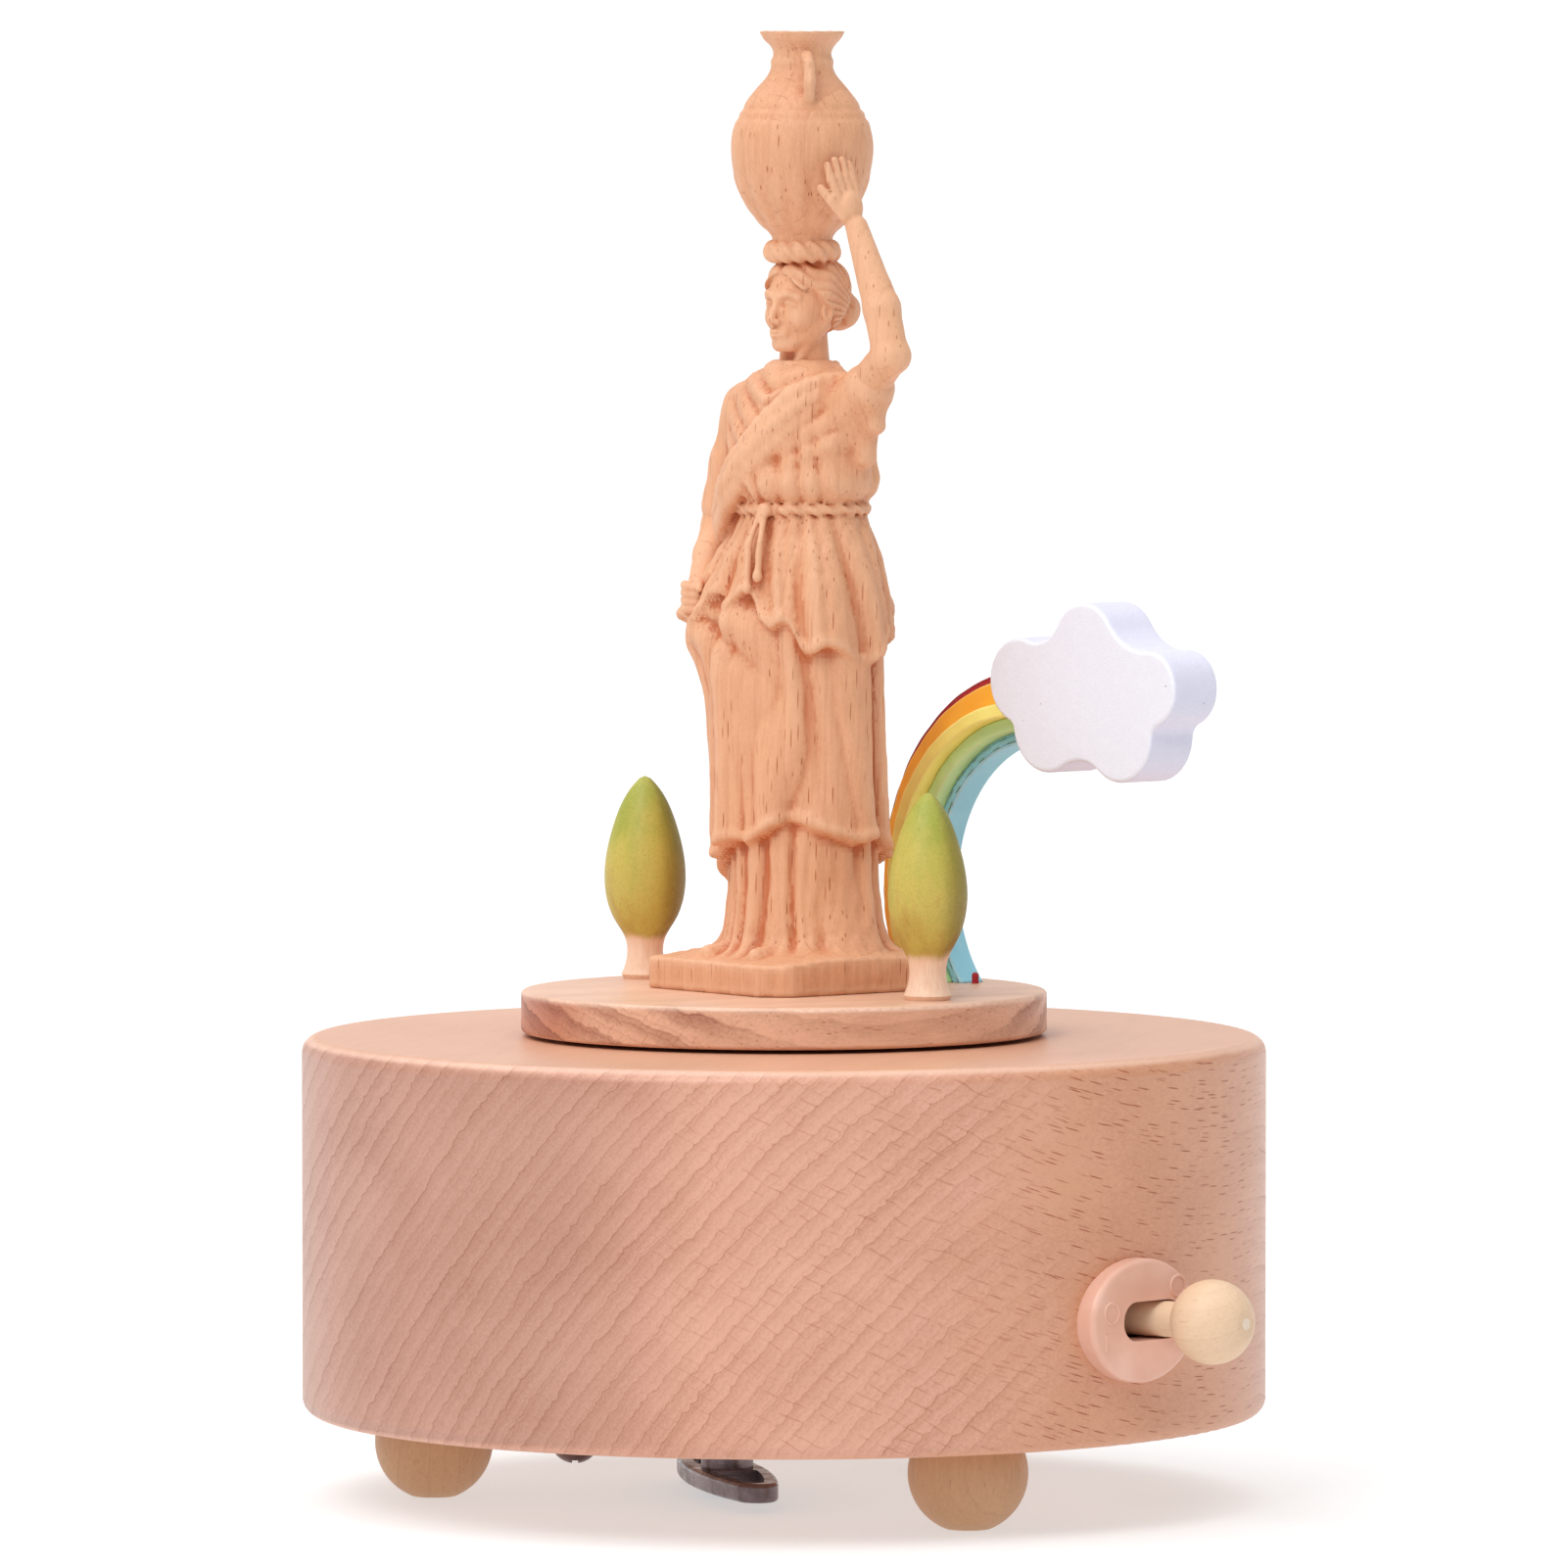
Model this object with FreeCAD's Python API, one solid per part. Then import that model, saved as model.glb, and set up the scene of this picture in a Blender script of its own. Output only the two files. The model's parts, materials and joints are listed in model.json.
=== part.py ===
# Wooden music box: a round drum on ball feet, wound by a key from below, with a slowly turning
# disc on top that carries a carved figure, two turned trees and a rainbow ending in a cloud.
# Units are millimetres. +Z is up, the camera side is -Y, the origin is on the ground on the drum's axis.

import FreeCAD, Part
import math
import os
from FreeCAD import Vector

# Drum
DRUM_R = 55.0
DRUM_H = 43.0
DRUM_LIFT = 9.7
DRUM_ROUND = 1.8
DRUM_ROOF = 6.0
COVER_THICK = 3.0
COVER_RIM = 7.5
COVER_GAP = 0.1

# Feet, their dowels and the screws of the bottom cover
FOOT_R = 6.75
FOOT_SQUASH = 0.5
FOOT_COUNT = 3
FOOT_FIRST_DEG = 30.9
DOWEL_R = 1.75
DOWEL_IN_FOOT = 4.0
DOWEL_IN_DRUM = 6.0
COVER_SCREW_FIRST_DEG = -32.8
COVER_SCREW_HEAD_R = 2.8
COVER_SCREW_HEAD_H = 2.2
COVER_SCREW_R = 1.3
COVER_SCREW_LEN = 12.0

# Turntable disc
DISC_R = 30.0
DISC_THICK = 4.75
DISC_GAP = 0.45
DISC_ROUND = 0.5
FIGURE_SCREW_R = 1.2
FIGURE_SCREW_HEAD_R = 2.2
FIGURE_SCREW_HEAD_H = 1.0
FIGURE_SCREW_X = 6.5
FIGURE_SCREW_Y = 6.6

# The scene on the disc is laid out along its own axes, turned about the drum's axis
SCENE_DEG = -48.0
PLINTH_X = -0.85
PLINTH_Y = 1.5
PLINTH_TURN_DEG = -4.0
PLINTH_W = 24.5
PLINTH_D = 23.5
PLINTH_H = 3.4
PLINTH_FRONT_CUT = 2.8
PLINTH_CHAMFER = 1.3

# Figure, heights above the plinth
FIGURE_ASIDE = 0.05
FIGURE_BEHIND = 2.0
PERSON_H = 80.0
JAR_H = 24.7
RING_PAD_H = 2.0

# Trees
TREE_LEFT_EDGE = 4.9
TREE_LEFT_R = 4.7
TREE_RIGHT_EDGE = 6.9
TREE_RIGHT_R = 4.5
TREE_Y = 1.0
TREE_H = 23.4
TRUNK_H = 4.6
TRUNK_R = 2.3
TRUNK_FOOT_R = 2.75
TREE_DOWEL_R = 1.0
TREE_DOWEL_LEN = 6.0

# Rainbow and cloud. The bands lie flush at the back and step forward to the yellow one.
RAINBOW_X = 19.0
RAINBOW_EDGE = 4.5
RAINBOW_RISE = 11.2
RAINBOW_END_DEG = 78.0
BAND_NAMES = ["red", "orange", "yellow", "green", "blue"]
BAND_WIDTHS = [0.95, 2.8, 1.6, 1.6, 1.35]
BAND_DEPTHS = [4.35, 5.25, 7.2, 5.25, 3.5]
RAINBOW_R = 25.4
CLOUD_ALONG = 11.4
CLOUD_ABOVE = 23.0
CLOUD_THICK = 6.9
CLOUD_BACK_INSET = 0.6
CLOUD_LOBES = [(0.1, 5.25, 5.1, 7.0), (10.8, 0.9, 4.3, 1.8), (5.8, -4.4, 5.4, 5.2), (-6.1, -3.6, 5.5, 1.2),
               (-10.6, 1.2, 4.9, 4.0)]
CLOUD_ROUND = 0.5
PEG_ALONG = -11.7
PEG_FROM_BACK = 2.5
PEG_R = 0.4
PEG_H = 1.3

# Start and stop lever on the drum's side
LEVER_DEG = -45.0
LEVER_Z = 23.8
LEVER_PIVOT_INSET = 2.1
LEVER_REST_DEG = 8.7
LEVER_TRAVEL_DEG = 12.0
STICK_R = 2.0
BALL_R = 4.75
BALL_STANDOFF = 6.45
PLATE_W = 16.9
PLATE_H = 13.9
PLATE_PROUD = 1.85
PLATE_SUNK = 2.0
PLATE_ROUND = 0.7
SLOT_CLEAR = 0.2
SLOT_END_ROUND = 0.95
WALL_HOLE_CLEAR = 1.0
LEVER_PIN_R = 1.2
LEVER_HUB_R = 2.2
LEVER_POST_R = 1.9
SPIGOT_R = 0.9
SPIGOT_LEN = 11.0
TIP_PIN_R = 0.7
STOP_TIP_R = 0.5
STOP_GAP = 0.15

# Winding key and its arbor
KEY_Y = 0.0
KEY_DEG = -78.0
KEY_LEN = 38.0
KEY_W = 8.6
KEY_THICK = 2.2
KEY_GROUND_GAP = 1.0
KEY_TIP_R = 2.4
KEY_RIM = 1.6
KEY_BOSS_R = 3.0
ARBOR_R = 1.6

# Movement. The room is from the worm wheel to the wall of the cavity.
MOVEMENT_ROOM = 7.7
RUN_CLEAR = 0.04
SIDE_CLEAR = 0.4
BED_THICK = 2.5
BED_CLEAR = 0.05
POST_CLEAR = 0.8
BRACKET_CLEAR = 0.6
BRACKET_THICK = 1.6
SCREW_R = 0.9
SCREW_HEAD_R = 1.7
SCREW_HEAD_H = 0.9
COMB_SCREW_R = 0.8
COMB_SCREW_HEAD_R = 1.5
BRIDGE_POST_R = 1.8
BRIDGE_HALF = 3.4
RATCHET_R = 4.5
RATCHET_TEETH = 12
RATCHET_THICK = 1.2
BARREL_R = 11.0
BARREL_H = 8.2
BARREL_WALL = 0.8
CROWN_TEETH = 36
CROWN_MODULE = 0.6
PINION_TEETH = 9
TOP_MODULE = 0.5
TOP_GEAR_W = 1.8
BARREL_GEAR_TEETH = 16
SPINDLE_GEAR_TEETH = 10
SPINDLE_R = 2.0
SPINDLE_TAIL_R = 1.2
BUSH_R = 4.0
HUB_R = 7.0
HUB_H = 1.5
CYLINDER_R = 6.5
CYLINDER_LEN = 18.0
CYLINDER_ARBOR_R = 1.0
PIN_R = 0.22
PIN_PROUD = 0.6
COMB_TEETH = 18
COMB_THICK = 1.0
COMB_GAP = 0.15
COMB_TOOTH_LEN = 7.2
COMB_BLOCK_D = 6.0
TRAIN_MODULE = 0.4
CYLINDER_GEAR_TEETH = 40
IDLER_TEETH = 10
IDLER_SHAFT_R = 0.6
WHEEL_MODULE = 0.5
WHEEL_TEETH = 18
WORM_R = 2.0
WORM_DEPTH = 0.75
WORM_STARTS = 2
WORM_LEN = 5.0
WORM_MESH = 0.15
FAN_R = 3.4
GOVERNOR_R = 0.7
BRAKE_R = 3.0
GEAR_W = 1.2

# Derived places, levels and radii
TREE_LEFT_X = TREE_LEFT_EDGE - DISC_R
TREE_RIGHT_X = DISC_R - TREE_RIGHT_EDGE
RAINBOW_BACK_Y = DISC_R - RAINBOW_EDGE
CLOUD_X = RAINBOW_X + CLOUD_ALONG
CLOUD_Z = RAINBOW_RISE + CLOUD_ABOVE
PEG_X = RAINBOW_X + PEG_ALONG
PEG_Y = RAINBOW_BACK_Y - PEG_FROM_BACK
KEY_X = -(BARREL_GEAR_TEETH + SPINDLE_GEAR_TEETH) * TOP_MODULE / 2
CROWN_R = CROWN_TEETH * CROWN_MODULE / 2
CROWN_HALF = 1.0
CROWN_H = 1.4
PINION_X = KEY_X + CROWN_R
BRACKET_X = max(PINION_X + CROWN_HALF, KEY_X + BARREL_R) + BRACKET_CLEAR
CYLINDER_X = BRACKET_X + BRACKET_THICK + 0.7
CYLINDER_GEAR_X = CYLINDER_X + CYLINDER_LEN + 0.7
WHEEL_X = CYLINDER_GEAR_X + GEAR_W + 1.2
CAVITY_R = WHEEL_X + MOVEMENT_ROOM
LEVER_PIVOT_R = CAVITY_R - LEVER_PIVOT_INSET
BALL_FROM_PIVOT = DRUM_R + PLATE_PROUD + BALL_STANDOFF - LEVER_PIVOT_R
DRUM_TOP = DRUM_LIFT + DRUM_H
COVER_TOP = DRUM_LIFT + COVER_THICK
CAVITY_TOP = DRUM_TOP - DRUM_ROOF
COVER_R = DRUM_R - COVER_RIM
LEDGE_R = (CAVITY_R + COVER_R) / 2
FOOT_CIRCLE_R = LEDGE_R - 2.25
SCREW_CIRCLE_R = LEDGE_R + 0.75
FOOT_CENTRE_Z = FOOT_R - FOOT_SQUASH
DISC_BOTTOM = DRUM_TOP + DISC_GAP
DISC_TOP = DISC_BOTTOM + DISC_THICK
PLINTH_TOP = DISC_TOP + PLINTH_H
BED_TOP = COVER_TOP + BED_THICK
RATCHET_Z = BED_TOP + 0.2
BARREL_Z = RATCHET_Z + RATCHET_THICK + 0.4
BARREL_TOP = BARREL_Z + BARREL_H
PINION_R = PINION_TEETH * CROWN_MODULE / 2
CYLINDER_Z = BARREL_TOP + 0.8 + PINION_R
BARREL_GEAR_Z = BARREL_TOP + CROWN_H + 0.9
BRIDGE_Z = BARREL_GEAR_Z + TOP_GEAR_W + 0.6
BRIDGE_TOP = BRIDGE_Z + 1.6
BRIDGE_REACH = max(CROWN_R + CROWN_HALF, BARREL_R) + BRIDGE_POST_R + POST_CLEAR
IDLER_Y = KEY_Y - 8.0
IDLER_Z = CYLINDER_Z - 6.0
GOVERNOR_X = WHEEL_X + GEAR_W / 2
WHEEL_R = WHEEL_TEETH * WHEEL_MODULE / 2
GOVERNOR_Y = IDLER_Y - WHEEL_R - WORM_R + WORM_MESH
BRAKE_Z = IDLER_Z + 4.3
FAN_Z = BRAKE_Z + 1.2
GOVERNOR_TOP = FAN_Z + 3.2
FRAME_TOP = GOVERNOR_TOP + 0.6


def cyl(radius, z0, z1, x=0.0, y=0.0):
    return Part.makeCylinder(radius, z1 - z0, Vector(x, y, z0))


def cyl_x(radius, x0, x1, y, z):
    return Part.makeCylinder(radius, x1 - x0, Vector(x0, y, z), Vector(1, 0, 0))


def box(x0, x1, y0, y1, z0, z1):
    return Part.makeBox(x1 - x0, y1 - y0, z1 - z0, Vector(x0, y0, z0))


def cone(r0, r1, z0, z1, x=0.0, y=0.0):
    return Part.makeCone(r0, r1, z1 - z0, Vector(x, y, z0))


def fuse(first, *others):
    for other in others:
        first = first.fuse(other)
    return first.removeSplitter()


def cut(base, *tools):
    for tool in tools:
        base = base.cut(tool)
    return base


def turned(shape, degrees, centre=Vector(0, 0, 0), axis=Vector(0, 0, 1)):
    result = shape.copy()
    result.rotate(centre, axis, degrees)
    return result


def moved(shape, x, y, z):
    result = shape.copy()
    result.translate(Vector(x, y, z))
    return result


def polar(radius, degrees):
    return radius * math.cos(math.radians(degrees)), radius * math.sin(math.radians(degrees))


def prism(points, z0, z1):
    corners = [Vector(x, y, z0) for x, y in points]
    outline = Part.makePolygon(corners + corners[:1])
    return Part.Face(outline).extrude(Vector(0, 0, z1 - z0))


def arc_through(start, middle, end):
    return Part.Arc(start, middle, end).toShape()


def direction(start, end):
    return math.degrees(math.atan2(end[1] - start[1], end[0] - start[0]))


def level_arc(centre, radius, start_deg, end_deg):
    """Arc in the plane Z = 0 through the given directions, whichever way the second lies."""
    marks = []
    for degrees in (start_deg, (start_deg + end_deg) / 2, end_deg):
        dx, dy = polar(radius, degrees)
        marks.append(Vector(centre[0] + dx, centre[1] + dy, 0))
    return arc_through(*marks)


def lobed_outline(lobes):
    """Closed wire round a clockwise ring of circles (x, y, radius, radius of the hollow after it)."""
    hollows = []
    for i, (x0, y0, r0, hollow_r) in enumerate(lobes):
        x1, y1, r1, _ = lobes[(i + 1) % len(lobes)]
        gap = math.hypot(x1 - x0, y1 - y0)
        reach0 = r0 + hollow_r
        reach1 = r1 + hollow_r
        along = (gap ** 2 + reach0 ** 2 - reach1 ** 2) / (2 * gap)
        aside = math.sqrt(reach0 ** 2 - along ** 2)
        ux, uy = (x1 - x0) / gap, (y1 - y0) / gap
        hollows.append((x0 + ux * along - uy * aside, y0 + uy * along + ux * aside))
    edges = []
    for i, (x, y, r, hollow_r) in enumerate(lobes):
        start = direction((x, y), hollows[i - 1])
        end = direction((x, y), hollows[i])
        edges.append(level_arc((x, y), r, start, end - 360 if end > start else end))
        following = lobes[(i + 1) % len(lobes)]
        start = direction(hollows[i], (x, y))
        end = direction(hollows[i], following[:2])
        edges.append(level_arc(hollows[i], hollow_r, start, end + 360 if end < start else end))
    return Part.Wire(edges)


def gear(teeth, module, thickness, x=0.0, y=0.0, z=0.0, gap_first=False, bore=0.0):
    """Spur gear with straight-sided teeth. One tooth points along +X, or one gap if gap_first."""
    pitch_r = teeth * module / 2
    tip_r = pitch_r + 0.85 * module
    root_r = pitch_r - 1.2 * module
    step = 360 / teeth
    offset = step / 2 if gap_first else 0.0
    points = []
    for i in range(teeth):
        middle = offset + i * step
        for radius, share in ((root_r, -0.24), (tip_r, -0.1), (tip_r, 0.1), (root_r, 0.24)):
            points.append(polar(radius, middle + share * step))
    body = moved(prism(points, 0, thickness), x, y, z)
    if bore:
        body = body.cut(cyl(bore, z, z + thickness, x, y))
    return body


def gear_x(teeth, module, thickness, x, y, z, first_deg=0.0, bore=0.0):
    """Spur gear on an axis along X. One tooth points to first_deg, counted from +Y towards +Z."""
    body = gear(teeth, module, thickness, bore=bore)
    body = turned(body, first_deg)
    body = turned(body, 90, axis=Vector(1, 0, 0))
    body = turned(body, 90, axis=Vector(0, 0, 1))
    return moved(body, x, y, z)


def in_scene(shape):
    """Turn a shape from the scene's own axes into the drum's."""
    return turned(shape, SCENE_DEG)


def on_circle(shape, count, first_deg):
    return [turned(shape, first_deg + i * 360 / count) for i in range(count)]


def foot_angles():
    return [FOOT_FIRST_DEG - 90 + i * 360 / FOOT_COUNT for i in range(FOOT_COUNT)]


def screw_angles():
    return [COVER_SCREW_FIRST_DEG - 90 + i * 360 / FOOT_COUNT for i in range(FOOT_COUNT)]


def pan_head_screw(x, y, head_z, head_r, head_h, shank_r, length):
    """Screw with its head below head_z and its shank going up, with a cross recess."""
    dome_r = (head_r ** 2 + head_h ** 2) / (2 * head_h)
    dome = Part.makeSphere(dome_r, Vector(x, y, head_z - head_h + dome_r))
    head = dome.common(cyl(head_r, head_z - head_h, head_z, x, y))
    shank = cyl(shank_r, head_z, head_z + length * 0.8, x, y)
    tip = cone(shank_r, 0.2, head_z + length * 0.8, head_z + length, x, y)
    slot = head_r * 0.55
    width = head_r * 0.12
    depth = head_z - head_h * 0.35
    recess_a = box(x - slot, x + slot, y - width, y + width, head_z - head_h, depth)
    recess_b = box(x - width, x + width, y - slot, y + slot, head_z - head_h, depth)
    return cut(fuse(head, shank, tip), recess_a, recess_b)


def lever_frame(shape):
    """Turn a shape drawn along +X through the lever plate's middle into its place."""
    return turned(shape, LEVER_DEG)


def lever_pivot():
    return polar(LEVER_PIVOT_R, LEVER_DEG)


def in_lever(shape):
    """Place a shape drawn about a pivot at the origin, with the stick along +X."""
    x, y = lever_pivot()
    return moved(turned(shape, LEVER_DEG + LEVER_REST_DEG), x, y, LEVER_Z)


def plate_outline(width, height):
    """Oval face in the Y-Z plane at X = 0."""
    oval = Part.Ellipse(Vector(0, 0, 0), max(width, height) / 2, min(width, height) / 2)
    face = Part.Face(Part.Wire([oval.toShape()]))
    if height > width:
        face = turned(face, 90)
    face = turned(face, 90, axis=Vector(1, 0, 0))
    return turned(face, 90)


def oval_block(width, height, x0, x1):
    return moved(plate_outline(width, height), x0, 0, LEVER_Z).extrude(Vector(x1 - x0, 0, 0))


def slot_limits():
    """Sideways reach of the stick at the plate, left and right of the plate's middle."""
    reach = DRUM_R + PLATE_PROUD - LEVER_PIVOT_R
    right = reach * math.tan(math.radians(LEVER_REST_DEG)) + STICK_R + SLOT_CLEAR
    left = reach * math.tan(math.radians(LEVER_TRAVEL_DEG - LEVER_REST_DEG)) + STICK_R + SLOT_CLEAR
    return -left, right + 0.2


def drum_case():
    solid = Part.makeCylinder(DRUM_R, DRUM_H, Vector(0, 0, DRUM_LIFT))
    rims = [edge for edge in solid.Edges if edge.Curve.TypeId == "Part::GeomCircle"]
    solid = solid.makeFillet(DRUM_ROUND, rims)
    left, right = slot_limits()
    half = STICK_R + SLOT_CLEAR + WALL_HOLE_CLEAR
    wall_hole = box(CAVITY_R - 6, DRUM_R + 5, left - WALL_HOLE_CLEAR, right + WALL_HOLE_CLEAR,
                    LEVER_Z - half, LEVER_Z + half)
    pocket = box(CAVITY_R - 8, DRUM_R - 6, -9.0, 9.0, LEVER_Z - 6.5, LEVER_Z + 6.5)
    seat = oval_block(PLATE_W, PLATE_H, DRUM_R - PLATE_SUNK, DRUM_R + 5)
    solid = cut(solid, cyl(CAVITY_R, DRUM_LIFT, CAVITY_TOP))
    solid = cut(solid, cyl(COVER_R + COVER_GAP, DRUM_LIFT, COVER_TOP))
    solid = cut(solid, cyl(BUSH_R, CAVITY_TOP, DRUM_TOP))
    solid = cut(solid, lever_frame(pocket), lever_frame(wall_hole), lever_frame(seat))
    for angle in foot_angles():
        x, y = polar(FOOT_CIRCLE_R, angle)
        solid = cut(solid, cyl(DOWEL_R, COVER_TOP, COVER_TOP + DOWEL_IN_DRUM, x, y))
    for angle in screw_angles():
        x, y = polar(SCREW_CIRCLE_R, angle)
        pilot = cyl(COVER_SCREW_R, COVER_TOP, DRUM_LIFT + COVER_SCREW_LEN + 0.5, x, y)
        solid = cut(solid, pilot)
    return solid


def bottom_cover():
    plate = cyl(COVER_R, DRUM_LIFT, COVER_TOP)
    plate = cut(plate, cyl(KEY_BOSS_R + 0.6, DRUM_LIFT, COVER_TOP, KEY_X, KEY_Y))
    for angle in foot_angles():
        plate = cut(plate, cyl(DOWEL_R, DRUM_LIFT, COVER_TOP, *polar(FOOT_CIRCLE_R, angle)))
    for angle in screw_angles():
        plate = cut(plate, cyl(COVER_SCREW_R, DRUM_LIFT, COVER_TOP, *polar(SCREW_CIRCLE_R, angle)))
    for x, y in bed_screw_places():
        plate = cut(plate, cyl(SCREW_R, DRUM_LIFT, COVER_TOP, x, y))
    return plate


def foot(angle):
    x, y = polar(FOOT_CIRCLE_R, angle)
    ball = Part.makeSphere(FOOT_R, Vector(x, y, FOOT_CENTRE_Z))
    ball = ball.common(cyl(FOOT_R + 1, 0, DRUM_LIFT, x, y))
    return cut(ball, cyl(DOWEL_R, DRUM_LIFT - DOWEL_IN_FOOT, DRUM_LIFT, x, y))


def foot_dowels():
    dowels = []
    for angle in foot_angles():
        x, y = polar(FOOT_CIRCLE_R, angle)
        dowels.append(cyl(DOWEL_R, DRUM_LIFT - DOWEL_IN_FOOT, COVER_TOP + DOWEL_IN_DRUM, x, y))
    return Part.makeCompound(dowels)


def cover_screws():
    screws = []
    for angle in screw_angles():
        x, y = polar(SCREW_CIRCLE_R, angle)
        screws.append(pan_head_screw(x, y, DRUM_LIFT, COVER_SCREW_HEAD_R, COVER_SCREW_HEAD_H,
                                     COVER_SCREW_R, COVER_SCREW_LEN))
    return Part.makeCompound(screws)


def lever_plate():
    front = DRUM_R + PLATE_PROUD
    body = oval_block(PLATE_W, PLATE_H, DRUM_R - PLATE_SUNK, front)
    rim = [edge for edge in body.Edges if abs(edge.BoundBox.XMin - front) < 1e-6]
    body = body.makeFillet(PLATE_ROUND, rim)
    left, right = slot_limits()
    half = STICK_R + SLOT_CLEAR
    slot = box(DRUM_R - PLATE_SUNK, front + 1, left, right, LEVER_Z - half, LEVER_Z + half)
    corners = [edge for edge in slot.Edges if edge.Length > PLATE_SUNK and
               abs(edge.BoundBox.YLength) + abs(edge.BoundBox.ZLength) < 1e-6]
    slot = slot.makeFillet(half * SLOT_END_ROUND, corners)
    return lever_frame(cut(body, slot))


def spindle_bush():
    sleeve = cyl(BUSH_R, CAVITY_TOP, DRUM_TOP)
    flange = cyl(BUSH_R + 2, CAVITY_TOP - 1, CAVITY_TOP)
    return cut(fuse(sleeve, flange), cyl(SPINDLE_R + RUN_CLEAR, CAVITY_TOP - 1, DRUM_TOP))


def slip_washer():
    return cut(cyl(BUSH_R + 1.5, DRUM_TOP, DISC_BOTTOM - 0.1), cyl(SPINDLE_R + 0.3, DRUM_TOP, DISC_BOTTOM))


def turntable_disc():
    disc = Part.makeCylinder(DISC_R, DISC_THICK, Vector(0, 0, DISC_BOTTOM))
    rims = [edge for edge in disc.Edges if edge.Curve.TypeId == "Part::GeomCircle"]
    disc = disc.makeFillet(DISC_ROUND, rims)
    disc = cut(disc, cyl(HUB_R, DISC_BOTTOM, DISC_BOTTOM + HUB_H))
    disc = cut(disc, cyl(SPINDLE_R, DISC_BOTTOM, DISC_TOP))
    for x, y in figure_screw_places():
        hole = cyl(FIGURE_SCREW_R, DISC_BOTTOM, DISC_TOP, x, y)
        head_hole = cyl(FIGURE_SCREW_HEAD_R, DISC_BOTTOM, DISC_BOTTOM + FIGURE_SCREW_HEAD_H, x, y)
        disc = cut(disc, in_scene(hole), in_scene(head_hole))
    for x in (TREE_LEFT_X, TREE_RIGHT_X):
        hole = cyl(TREE_DOWEL_R, DISC_TOP - TREE_DOWEL_LEN / 2, DISC_TOP, x, TREE_Y)
        disc = cut(disc, in_scene(hole))
    return disc


def turntable_hub():
    return cut(cyl(HUB_R, DISC_BOTTOM, DISC_BOTTOM + HUB_H), cyl(SPINDLE_R, DISC_BOTTOM, DISC_BOTTOM + HUB_H))


def spindle():
    gear_top = BARREL_GEAR_Z + TOP_GEAR_W
    return fuse(cyl(SPINDLE_TAIL_R, BARREL_GEAR_Z - SIDE_CLEAR, gear_top), cyl(SPINDLE_R, gear_top, DISC_TOP))


def spindle_gear():
    return gear(SPINDLE_GEAR_TEETH, TOP_MODULE, TOP_GEAR_W, z=BARREL_GEAR_Z, gap_first=True,
                bore=SPINDLE_TAIL_R)


def figure_screw_places():
    y = PLINTH_Y + FIGURE_SCREW_Y
    return [(PLINTH_X - FIGURE_SCREW_X, y), (PLINTH_X + FIGURE_SCREW_X, y)]


def figure_screw_top():
    return PLINTH_TOP - 0.8


def figure_screws():
    screws = []
    for x, y in figure_screw_places():
        seat = DISC_BOTTOM + FIGURE_SCREW_HEAD_H
        head = cyl(FIGURE_SCREW_HEAD_R, DISC_BOTTOM, seat, x, y)
        shank = cyl(FIGURE_SCREW_R, seat, figure_screw_top(), x, y)
        slot = box(x - 1.6, x + 1.6, y - 0.3, y + 0.3, DISC_BOTTOM, DISC_BOTTOM + FIGURE_SCREW_HEAD_H / 2)
        screws.append(in_scene(cut(fuse(head, shank), slot)))
    return Part.makeCompound(screws)


def plinth():
    """Slab with small cut corners, and a larger cut at the corner nearest the front."""
    x, y, small, front = PLINTH_W / 2, PLINTH_D / 2, PLINTH_CHAMFER, PLINTH_FRONT_CUT
    corners = [(small - x, -y), (x - front, -y), (x, front - y), (x, y - small), (x - small, y), (small - x, y),
               (-x, y - small), (-x, small - y)]
    slab = turned(prism(corners, DISC_TOP, PLINTH_TOP), PLINTH_TURN_DEG)
    slab = moved(slab, PLINTH_X, PLINTH_Y, 0)
    for x, y in figure_screw_places():
        slab = cut(slab, cyl(FIGURE_SCREW_R, DISC_TOP, figure_screw_top(), x, y))
    return slab


def ellipse_wire(x, y, z, rx, ry):
    major, minor = max(rx, ry), min(rx, ry)
    loop = Part.Wire([Part.Ellipse(Vector(0, 0, 0), major, minor).toShape()])
    if ry > rx:
        loop = turned(loop, 90)
    return moved(loop, x, y, z)


def stack(sections):
    """Smooth solid through level ellipses given as (height, x, y, half width, half depth)."""
    wires = [ellipse_wire(x, y, z, rx, ry) for z, x, y, rx, ry in sections]
    return Part.makeLoft(wires, True, False)


def limb(points, radii):
    """Round-jointed limb through a few points."""
    pieces = []
    for (a, ra), (b, rb) in zip(zip(points, radii), zip(points[1:], radii[1:])):
        start, end = Vector(*a), Vector(*b)
        run = end - start
        pieces.append(Part.makeSphere(ra, start))
        pieces.append(Part.makeCone(ra, rb, run.Length, start, run))
    pieces.append(Part.makeSphere(radii[-1], Vector(*points[-1])))
    return pieces


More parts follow.
